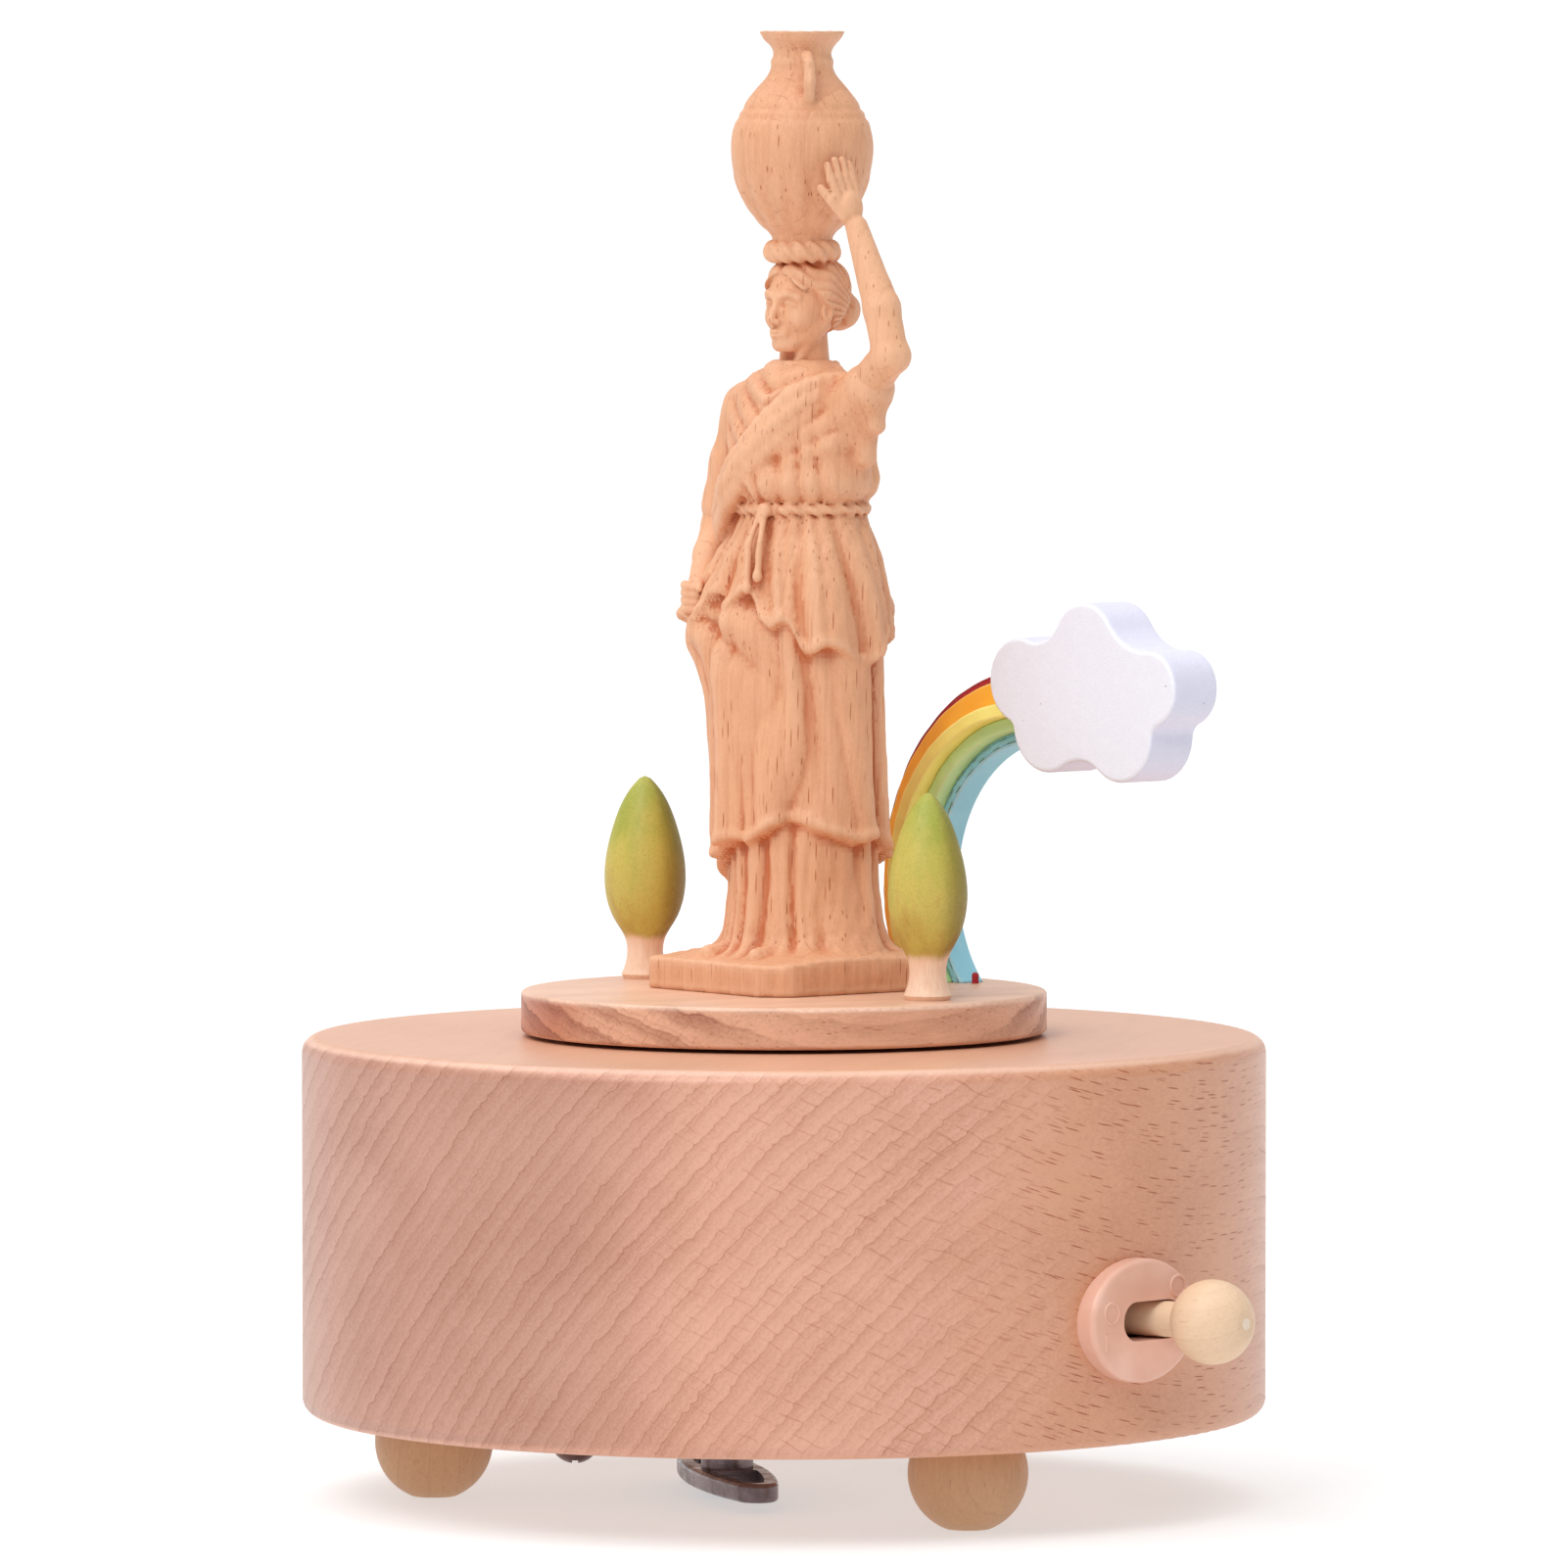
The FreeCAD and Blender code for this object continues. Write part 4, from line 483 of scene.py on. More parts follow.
def metal(name, code, deep, roughness, scratch=(0.12, 6.0, 6.0)):
    """Bare or plated metal with fine drawn marks and a little staining."""
    tree = Tree(name)
    place = tree.place()
    marks = tree.noise(place, scratch, 3.0, 0.6)
    stains = tree.noise(place, 3.0, 4.0, 0.6)
    level = tree.spread(marks, -0.07, 0.07) + tree.spread(stains, -0.05, 0.08)
    tree.set(Base_Color=tree.mix(tree.fade(stains, 0.35, 0.7), code, deep), Metallic=1.0,
             Normal=tree.bump(marks, 0.02, 0.35), Roughness=level + roughness)
    return tree.owner


RAINBOW = {"red": ("B5192A", "8E1020"), "orange": ("FFBC3A", "FAA82C"), "yellow": ("FFF48A", "F6E672"),
           "green": ("CDF2B0", "B8E29C"), "blue": ("9EDDF2", "8ACFE6")}


def slot_materials():
    """One finish for each material slot of the record."""
    finishes = {
        "beech_drum": drum_wood(),
        "beech_cover": cover_wood(),
        "beech_disc": disc_wood(),
        "beech_figure": figure_wood(),
        "beech_turned": turned_wood("beech_turned", (0.05, 0.1, 1), "CFA37D", "A0744C", 1.7),
        "green_tree": tree_paint(),
        "white_cloud": cloud_paint(),
        "plate_plastic": plastic("plate_plastic", "EBBDAA", "E2AE98"),
        "washer_plastic": plastic("washer_plastic", "E8E4DA", "D2CCBE", 0.45),
        "tip_plastic": plastic("tip_plastic", "F4E4D2", "E3CDB6", 0.3),
        "brass": metal("brass", "D8B36A", "B98F45", 0.3),
        "steel": metal("steel", "B9B8B6", "92908E", 0.3),
        "frame_metal": metal("frame_metal", "A8A49C", "8B877F", 0.42),
        "key_metal": metal("key_metal", "86797C", "6B5F62", 0.28, (5.0, 5.0, 0.12)),
    }
    for colour, codes in RAINBOW.items():
        finishes["paint_" + colour] = paint("paint_" + colour, *codes)
    return finishes


def node_finishes():
    """Finishes by slot and by CAD node.

    A node has its slot's, except the lever's turned pieces, whose grain runs along the lever, and the screws
    under the drum, which are darkened and browned as painted shade and a painted reflection of the wood
    above."""
    by_slot = slot_materials()
    by_node = {row["node"]: by_slot[row["material_slot"]] for row in frame["record"]["subparts"]}
    lever_wood = turned_wood("beech_lever", LEVER_OUT, "E8C9A9", "CB9D78", 1.5)
    by_node["lever_stick"] = by_node["lever_ball"] = lever_wood
    # Painted shade and a painted reflection of the wood above: the screws under the drum are darker and
    # browner.
    by_node["cover_screws"] = metal("steel_with_painted_shade", "6E5450", "57403C", 0.32)
    return by_slot, by_node


def new_object(name, data):
    made = bpy.data.objects.new(name, data)
    scene.collection.objects.link(made)
    return made


def assign(obj, material):
    if obj.material_slots:
        for holder in obj.material_slots:
            holder.link = "DATA"
            holder.material = material
    else:
        obj.data.materials.append(material)


# Studio, in metres
LAMP_PLACE = Vector((-0.75, -1.35, 1.45))
LAMP_AIM = Vector((0, 0, 0.07))
LAMP_SIZE = 0.9
LAMP_WATTS = 12.0
FLOOR_R = 6.0
FLOOR_SIDES = 96
FLOOR_Z = -0.0002
FLOOR_GLOW = 0.52


def sky():
    """White backdrop all round and higher behind, under a dome brighter overhead and to the left."""
    tree = Tree("studio", world=True)
    scene.world = tree.owner
    x, y, z = tree.split(tree.value("ShaderNodeTexCoord", "Generated"))
    backdrop = tree.fade(z, 0.03, 0.08, 1.05, 0.0, smooth=False)
    behind = tree.fade(z, 0.25, 0.4, 0.88, 0.0) * tree.fade(y, 0.2, 0.7)
    overhead = tree.fade(z, 0.45, 1.0, 0.3, 2.2, smooth=False)
    dome = overhead * tree.fade(x, -1.0, 1.0, 1.5, 0.5, smooth=False)
    strength = tree.math("MAXIMUM", tree.math("MAXIMUM", backdrop, behind), dome)
    tree.set(Color=WHITE, Strength=strength)


def lamp():
    data = bpy.data.lights.new("key", "AREA")
    data.shape = "DISK"
    data.size = LAMP_SIZE
    data.energy = LAMP_WATTS
    made = new_object("key", data)
    made.location = LAMP_PLACE
    made.rotation_euler = (LAMP_AIM - LAMP_PLACE).to_track_quat("-Z", "Y").to_euler()


def floor():
    bpy.ops.mesh.primitive_circle_add(vertices=FLOOR_SIDES, radius=FLOOR_R, fill_type="TRIFAN",
                                      location=(0, 0, FLOOR_Z))
    made = bpy.context.object
    made.name = "floor"
    tree = Tree("floor_paper")
    grain = tree.noise(tree.place(), 3.0)
    tree.set(Base_Color=tree.mix(grain, (0.46, 0.46, 0.46, 1), (0.5, 0.5, 0.5, 1)), Roughness=0.9,
             Specular_IOR_Level=0.1, Emission_Color=WHITE, Emission_Strength=FLOOR_GLOW)
    made.data.materials.append(tree.owner)


def camera():
    data = bpy.data.cameras.new("camera")
    data.sensor_width = SENSOR
    data.lens = SENSOR * FOCAL_PIXELS / IMAGE_PIXELS
    data.clip_end = CLIP_END
    made = new_object("camera", data)
    made.location = (0, -CAMERA_DISTANCE * MM, CAMERA_HEIGHT * MM)
    made.rotation_euler = (math.radians(90 - CAMERA_PITCH_DEG), 0, 0)
    scene.camera = made


def curve(place, knots):
    """Smooth value at each place through (place, value) knots."""
    places, values = (np.array(row, float) for row in zip(*knots))
    slopes = np.gradient(values, places)
    i = np.clip(np.searchsorted(places, place) - 1, 0, len(places) - 2)
    width = places[i + 1] - places[i]
    t = np.clip((place - places[i]) / width, 0, 1)
    s = 1 - t
    ends = s * s * (1 + 2 * t) * values[i] + t * t * (3 - 2 * t) * values[i + 1]
    return ends + t * s * width * (s * slopes[i] - t * slopes[i + 1])


def ease(value, low, high):
    """0 below low, 1 above high, smooth between."""
    t = np.clip((value - low) / (high - low), 0, 1)
    return t * t * (3 - 2 * t)


def bell(value, middle, width):
    return np.exp(-((value - middle) / width) ** 2)


def pleat(phase):
    """Round ridges with sharp valleys, from 0 to 1."""
    return np.abs(np.cos(phase))


def smooth_path(points, count):
    """Count points along a smooth line through a few."""
    knots = np.linspace(0, 1, len(points))
    spots = np.linspace(0, 1, count)
    return np.stack([curve(spots, list(zip(knots, row))) for row in zip(*points)], axis=1)


def soft_least(a, b, soft):
    """The lesser of two distances, rounded over soft where they meet."""
    share = np.clip(0.5 + 0.5 * (a - b) / soft, 0, 1)
    return a + (b - a) * share - soft * share * (1 - share)


def round_axis(x, y):
    """Angle from the front, and distance from the upright axis."""
    return np.arctan2(x, -y), np.sqrt(x * x + y * y)


FAR = 9.0


class Field:
    """Distance to a soft shape on a grid, in millimetres.

    With side at -1, eggs and limbs are mirrored in X."""

    def __init__(self, low, high, step):
        self.side = 1
        self.step = step
        self.low = np.array(low, float)
        self.axes = [np.arange(a, b + step, step) for a, b in zip(low, high)]
        self.values = np.full([len(axis) for axis in self.axes], FAR, np.float32)

    def window(self, low, high, pad):
        """Part of the grid between two corners, pad wider all round, and its places."""
        spans = [slice(*np.searchsorted(axis, (a - pad, b + pad)))
                 for axis, a, b in zip(self.axes, low, high)]
        found = [axis[span] for axis, span in zip(self.axes, spans)]
        return tuple(spans), np.meshgrid(*found, indexing="ij", sparse=True)

    def add(self, spans, distance, soft, cut=False):
        """Joins a shape on, or with cut takes it away."""
        old = self.values[spans]
        self.values[spans] = -soft_least(-old, distance, soft) if cut else soft_least(old, distance, soft)

    def shape(self, distance, low, high, soft=0.5):
        spans, place = self.window(low, high, soft + 1.0)
        self.add(spans, distance(*place), soft)

    def egg(self, centre, radii, soft=0.5, cut=False):
        """Ellipsoid."""
        centre = (self.side * centre[0], *centre[1:])
        reach = max(radii) + soft
        spans, place = self.window([c - reach for c in centre], [c + reach for c in centre], 0.5)
        offsets = [p - c for p, c in zip(place, centre)]
        k = np.sqrt(sum((p / r) ** 2 for p, r in zip(offsets, radii)))
        g = np.sqrt(sum((p / r ** 2) ** 2 for p, r in zip(offsets, radii)))
        self.add(spans, k * (k - 1) / np.maximum(g, 1e-4), soft, cut)

    def fold(self, points, thick, soft=0.3, count=15):
        """Smooth fold of cloth through points, thinner at its ends."""
        swell = np.sin(np.linspace(0, math.pi, count)) ** 0.5
        self.limb(smooth_path(points, count), thick * (0.45 + 0.55 * swell), soft)

    def limb(self, points, radii, soft=0.4, cut=False):
        """Round-ended rods through points, thinner from one radius to the next."""
        points = [np.array((self.side * x, y, z), float) for x, y, z in points]
        for a, b, ra, rb in zip(points, points[1:], radii, radii[1:]):
            pad = max(ra, rb) + soft
            spans, place = self.window(np.minimum(a, b), np.maximum(a, b), pad + 0.5)
            run = b - a
            along = sum((p - q) * r for p, q, r in zip(place, a, run)) / max(run @ run, 1e-9)
            along = np.clip(along, 0, 1)
            gap = np.sqrt(sum((p - q - along * r) ** 2 for p, q, r in zip(place, a, run)))
            self.add(spans, gap - (ra + (rb - ra) * along), soft, cut)

    def hollows(self, points, reach=1.5):
        """How hollow the shape is at points, from -1 on ridges to 1 in valleys, within reach of each."""
        near = blurred = np.clip(self.values, -reach, reach)
        count = round(reach / self.step)
        for axis in range(3):
            blurred = sum(np.roll(blurred, k, axis) for k in range(-count, count + 1)) / (2 * count + 1)
        at = tuple(np.rint((points - self.low) / self.step).astype(int).T)
        return np.clip((near - blurred)[at] / (0.22 * reach), -1, 1)

    def surface(self):
        """Points and quads of the zero surface, one point in each cell that it passes through."""
        d = self.values
        inside = d < 0
        shape = np.array(d.shape) - 1
        corners = list(product((0, 1), repeat=3))

        def at(grid, corner):
            return grid[tuple(slice(c, c + n) for c, n in zip(corner, shape))]

        total = sum(at(inside, corner).astype(np.int8) for corner in corners)
        cells = np.argwhere((total > 0) & (total < 8))
        number = np.full(shape, -1, np.int64)
        number[tuple(cells.T)] = np.arange(len(cells))
        points, hits = np.zeros((len(cells), 3)), np.zeros(len(cells))
        for start in corners:
            for axis in range(3):
                if start[axis]:
                    continue
                step = np.eye(3, dtype=int)[axis]
                a = d[tuple((cells + start).T)]
                b = d[tuple((cells + start + step).T)]
                crossed = (a < 0) != (b < 0)
                share = a[crossed] / (a[crossed] - b[crossed])
                points[crossed] += cells[crossed] + start + step * share[:, None]
                hits[crossed] += 1
        points /= hits[:, None]
        quads = []
        for axis in range(3):
            low = [slice(1, n) for n in shape]
            low[axis] = slice(0, shape[axis])
            high = list(low)
            high[axis] = slice(1, shape[axis] + 1)
            a, b = inside[tuple(low)], inside[tuple(high)]
            edges = np.argwhere(a != b)
            outward = a[tuple(edges.T)]
            edges += [0 if i == axis else 1 for i in range(3)]
            u, v = np.eye(3, dtype=int)[(axis + 1) % 3], np.eye(3, dtype=int)[(axis + 2) % 3]
            ring = np.stack([number[tuple((edges - back).T)] for back in (u + v, v, 0 * u, u)], axis=1)
            ring[~outward] = ring[~outward][:, ::-1]
            quads.append(ring)
        return points * self.step + self.low, np.concatenate(quads)


# Marks on the lever's plate, as places aside and above its middle
MARK_RINGS = [(-5.4, 1.2), (5.2, 3.6)]
MARK_RING_R = 1.15
MARK_RING_POINTS = 40
MARK_BAR = [(-6.3, -1.1), (-6.3, -3.1)]
MARK_BAR_POINTS = 7
MARK_LINE_R = 0.2
MARK_LINE_SIDES = 5
MARK_RELIEF = 0.195
MARK_SINK = 0.03


def raised_line(points, closed):
    """Low rounded ridge along points on the plate's face: vertices and faces, in millimetres."""
    middle = sum(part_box("lever_plate"), Vector()) / 2 / MM
    face = max(v.co.dot(LEVER_OUT) for v in nodes["lever_plate"].data.vertices) / MM
    vertices, faces = [], []
    count, sides = len(points), MARK_LINE_SIDES
    for i, (a, b) in enumerate(points):
        before = Vector(points[i - 1] if closed or i else points[i])
        after = Vector(points[(i + 1) % count] if closed or i < count - 1 else points[i])
        along = (after - before).normalized()
        for k in range(sides):
            turn = math.pi * k / (sides - 1)
            off = MARK_LINE_R * math.cos(turn)
            out = face - MARK_SINK + MARK_RELIEF * math.sin(turn)
            u, v = a - along.y * off, b + along.x * off
            vertices.append(LEVER_OUT * out + LEVER_ASIDE * u + Vector((0, 0, middle.z + v)))
    for i in range(count if closed else count - 1):
        for k in range(sides - 1):
            a, b = i * sides + k, ((i + 1) % count) * sides + k
            faces.append((a, a + 1, b + 1, b))
    return vertices, faces


def plate_marks():
    """Rings and a bar that stand a little proud of the plate."""
    turns = [2 * math.pi * k / MARK_RING_POINTS for k in range(MARK_RING_POINTS)]
    outlines = [([(x + MARK_RING_R * math.cos(t), z + MARK_RING_R * math.sin(t)) for t in turns], True)
                for x, z in MARK_RINGS]
    outlines.append((np.linspace(*MARK_BAR, MARK_BAR_POINTS).tolist(), False))
    vertices, faces = [], []
    for points, closed in outlines:
        more, joined = raised_line(points, closed)
        faces += [tuple(i + len(vertices) for i in face) for face in joined]
        vertices += more
    return mesh_piece("plate_marks", vertices, faces, "case", "plate_plastic")


# The carved figure, in millimetres from its axis and from the slab's top, facing -Y
WAIST_Z = 51.5
ROBE_TOP = 68.4
ROBE_FOOT = -1.5
SKIRT_HEM_Z = 10.5
OVERFOLD_HEM_Z = 37.0
HEM_SOFT = 0.35

# Pleats round half the body
UNDER_PLEATS = 8.5
SKIRT_PLEATS = 4.5
OVERFOLD_PLEATS = 5.5

# Where the hand draws the skirt up, as an angle from the front and a height
PULL_TURN = -0.95
PULL_Z = 41.0

# Height, half width and half depth of the robed body
BODY_SIZES = [(-1, 12.2, 10.8), (1.5, 11.5, 10.2), (6, 10.6, 9.4), (16, 10.3, 9.1), (30, 10.2, 8.8),
              (40, 10.3, 8.6), (46, 9.5, 7.7), (51.5, 8.1, 6.3), (56, 9.1, 6.9), (60.5, 10.2, 6.5),
              (64, 9.9, 5.3), (66.5, 7.6, 4.3), (68, 4.4, 3.4), (69, 2.6, 2.6)]


def body_reach(turn, z, proud=0.0):
    """Distance from the axis to the body's oval outline at a height, proud of it by a little."""
    width, depth = (curve(z, [(row[0], row[k]) for row in BODY_SIZES]) + proud for k in (1, 2))
    return 1 / np.sqrt((np.sin(turn) / width) ** 2 + (np.cos(turn) / depth) ** 2)


def robe(x, y, z):
    """Long robe in layers, each of them worked out as how far it stands off the body's oval."""
    turn, reach = round_axis(x, y)
    lean = 0.14 * np.sin(z / 10 + 2 * turn) + 0.06 * np.sin(z / 4.4 + 5 * turn + 1)
    sway = turn + 0.16 * np.sin(2 * turn + 0.8) + 0.07 * np.sin(5 * turn + 2) + lean
    uneven = 0.72 + 0.28 * np.sin(3 * turn + 1.1 + z / 14)

    # under skirt, which spreads at its foot
    under = -1.9 + 1.0 * pleat(UNDER_PLEATS * sway + 0.3) * uneven + 0.25 * pleat(15 * sway + 0.7)
    under = under + 1.2 * ease(-z, -3.5, 0.5)

    # skirt, smoothed over the bent knee and the shin, down to its hem
    knee = bell(turn, -0.42, 0.48) * bell(z, 26, 12)
    shin = bell(turn, -0.5, 0.4) * bell(z, 12, 9)
    deep = 0.5 + 0.5 * ease(-z, -44, -6)
    skirt = 2.1 * pleat(SKIRT_PLEATS * sway + 0.5) * uneven + 0.9 * pleat(8 * sway + 1.3) - 1.8
    skirt = skirt * deep * (1 - 0.65 * knee) + 1.4 * knee + 0.5 * shin
    hem = SKIRT_HEM_Z + 3.9 * np.sin(turn + 0.7) + 1.3 * pleat(3.5 * sway + 0.5) + 0.3 * np.sin(9 * sway)
    low = under + (skirt - under) * ease(z, hem - 0.3, hem + HEM_SOFT)
    low = low + HEM_SOFT * bell(z, hem + 0.8, 0.7)

    # overfold that hangs from the belt
    over = 1.5 * pleat(OVERFOLD_PLEATS * sway + 0.2) * ease(-z, -52, -41) * uneven
    over = over + 0.4 * pleat(12 * sway) - 0.75
    hem = OVERFOLD_HEM_Z + 3.4 * np.sin(2 * turn + 1.9) + 0.9 * np.sin(11 * sway + 0.4)
    hem = hem + 1.2 * pleat(OVERFOLD_PLEATS * sway + 0.2)
    body = low + (over + 0.7 - low) * ease(z, hem - 0.2, hem + HEM_SOFT)
    body = body + HEM_SOFT * bell(z, hem + 0.8, 0.7)

    # bodice, gathered over the belt and drawn in slanting folds
    gather = 0.6 * pleat(UNDER_PLEATS * sway + 0.4 + 0.05 * z) * bell(z, 54, 6.5)
    gather = gather + 1.1 * bell(z, 54.2, 2.2) - 0.4
    slant = 0.5 * pleat(1.05 * (z - 0.62 * np.abs(x - 0.6))) * ease(z, 56, 59) * ease(-y, -1.0, 3.0)
    back_slant = 0.45 * pleat(0.9 * (z + 0.35 * x)) * ease(z, 55, 60) * ease(y, 0.0, 3.0)
    bodice = gather + slant + back_slant
    body = body + (bodice - body) * ease(z, WAIST_Z - 0.5, WAIST_Z + 0.6)
    body = body - 0.9 * bell(z, WAIST_Z, 0.7)

    # folds that fan out from the hand
    aside, above = (turn - PULL_TURN) * 9.5, z - PULL_Z
    away = np.sqrt(aside * aside + above * above)
    pull = 3.3 * np.exp(-(aside / 3.0) ** 2) * bell(above, -2.5, 5.5)
    rays = pleat(4.5 * np.arctan2(aside, -above) + 0.4)
    rays = rays * ease(away, 1, 5) * bell(away, 7, 8) * ease(-above, -2, 3)
    body = body + pull + 1.2 * rays
    return np.maximum((reach - body_reach(turn, z) - body) * 0.75, np.maximum(z - ROBE_TOP, ROBE_FOOT - z))


def twisted(turn, out, up, thick, depth, strands, turns):
    """Cord of twisted strands round the axis: out and up from its middle line."""
    around = np.arctan2(up, out)
    return np.sqrt(out ** 2 + up ** 2) - (thick + depth * np.cos(strands * around + turns * turn))


def belt(x, y, z):
    """Cord round the waist."""
    turn, reach = round_axis(x, y)
    return twisted(turn, reach - body_reach(turn, WAIST_Z, 0.15), z - WAIST_Z, 0.62, 0.14, 2, 26)


HALF_DIAGONAL = 0.7071
SLAB = {"x": -0.05, "y": -2.0, "turn": -4.0, "w": 24.5, "d": 23.5, "h": 3.4, "cut": 1.3, "front_cut": 2.8}


def slab(x, y, z):
    """Slab with cut corners, its top swollen towards the robe."""
    u, v = rotated(x - SLAB["x"], y - SLAB["y"], -SLAB["turn"])
    w, d = SLAB["w"] / 2, SLAB["d"] / 2
    cut = np.where((u > 0) & (v < 0), SLAB["front_cut"], SLAB["cut"])
    u, v = np.abs(u), np.abs(v)
    sides = np.maximum(np.maximum(u - w, v - d), (u + v - (w + d - cut)) * HALF_DIAGONAL)
    rise = 1.7 * np.exp(-((x / 12.5) ** 4 + (y / 11.0) ** 4))
    return np.maximum(np.maximum(sides, (z - rise) * 0.95), -SLAB["h"] - z)


def body_field(step):
    field = Field((-16.4, -15.2, -3.4 - 2 * step), (19.5, 12.2, 70), step)
    field.shape(slab, (-13.6, -14.8, -3.4), (13.6, 11.2, 2), 0.05)
    field.shape(robe, (-13.5, -12, -3), (13.5, 12, 68.6), 0.9)
    # feet under the hem
    for x, y in ((-3.9, -9.9), (3.4, -9.4)):
        field.limb([(x, y + 2.5, 0.9), (x * 1.05, y - 0.9, 0.75)], [1.3, 1.05], 0.3)
        for k in range(4):
            tx = x * 1.05 - 0.85 + 0.57 * k
            field.limb([(tx, y - 1.0, 0.75), (tx * 1.02, y - 1.85 + 0.12 * k, 0.55)], [0.42, 0.3], 0.1)
    # shoulders and sleeves
    field.limb([(5.6, 0.3, 63.8), (8.6, 0, 63.0), (12.0, -0.6, 65.4)], [3.2, 3.3, 2.9], 1.0)
    field.limb([(-5.6, 0.3, 63.8), (-8.6, 0, 62.3), (-11.0, -0.4, 56.0), (-12.4, -0.8, 51.6)],
               [3.2, 3.3, 2.9, 2.7], 1.0)
    # the raised sleeve slides back and hangs from the arm
    field.limb([(11.6, -0.4, 65.2), (12.2, 0.1, 61.2)], [2.4, 1.3], 0.8)
    field.limb([(9.8, 0.2, 63), (10.3, 0.5, 57.5)], [2.3, 1.2], 0.9)
    # end of the mantle, hung over the lowered arm
    for y, low, thick in ((-0.7, 31.5, 1.15), (1.1, 27.5, 1.3), (2.9, 33.0, 1.2), (4.3, 38.0, 1.0)):
        inward = 0.1 * y * y
        points = [(-11.4, y * 0.6, 54.0), (-13.2 + inward, y, 47.0), (-13.0 + inward, y * 1.1, 40.0),
                  (-12.3 + inward, y * 1.15, low)]
        field.fold(points, thick, 0.6)
    # mantle from the raised shoulder across the chest to the hip, and down the back
    for rise, out, thick in ((0, 0, 1.25), (1.75, -0.2, 1.05), (-1.75, -0.15, 1.1)):
        front = [(8.4, 0, 66.0 + rise * 0.4), (5.4, -5.0 - out, 63.6 + rise), (0.6, -7.2 - out, 59.0 + rise),
                 (-5.0, -6.7 - out, 54.0 + rise), (-9.4, -3.8, 49.8 + rise), (-11.2, -0.4, 46.8 + rise)]
        back = [(8.4, 0, 66.0 + rise * 0.4), (5.6, 4.6 + out, 62.8 + rise), (0.6, 6.6 + out, 57.8 + rise),
                (-5.0, 6.1 + out, 52.8 + rise), (-9.6, 3.4, 48.8 + rise), (-11.2, -0.2, 46.8 + rise)]
        field.fold(front, thick, 0.4, 24)
        field.fold(back, thick, 0.4, 24)
    field.shape(belt, (-9.5, -8, 50), (9.5, 8, 53), 0.15)
    # knot and ends of the cord
    field.egg((1.6, -7.2, 51.4), (1.0, 0.8, 0.95), 0.2)
    field.limb([(1.3, -7.6, 51.0), (0.9, -9.0, 47.5), (1.1, -9.4, 43.2)], [0.42, 0.4, 0.42], 0.15)
    field.limb([(1.9, -7.6, 51.0), (2.7, -8.8, 47.8), (2.6, -9.2, 44.6)], [0.42, 0.4, 0.42], 0.15)
    for x, y, z in ((1.1, -9.45, 42.6), (2.6, -9.25, 44.0)):
        field.egg((x, y, z), (0.62, 0.62, 0.8), 0.15)
    # collar
    field.limb([(-4.6, -2.2, 66.6), (-2.6, -4.6, 64.9), (0, -5.4, 63.8), (2.6, -4.6, 64.9), (4.6, -2.2, 66.6),
                (4.4, 1.4, 67.3), (1.8, 3.4, 67.6), (-1.8, 3.4, 67.6), (-4.4, 1.4, 67.3), (-4.6, -2.2, 66.6)],
               [0.62] * 10, 0.25)
    return field


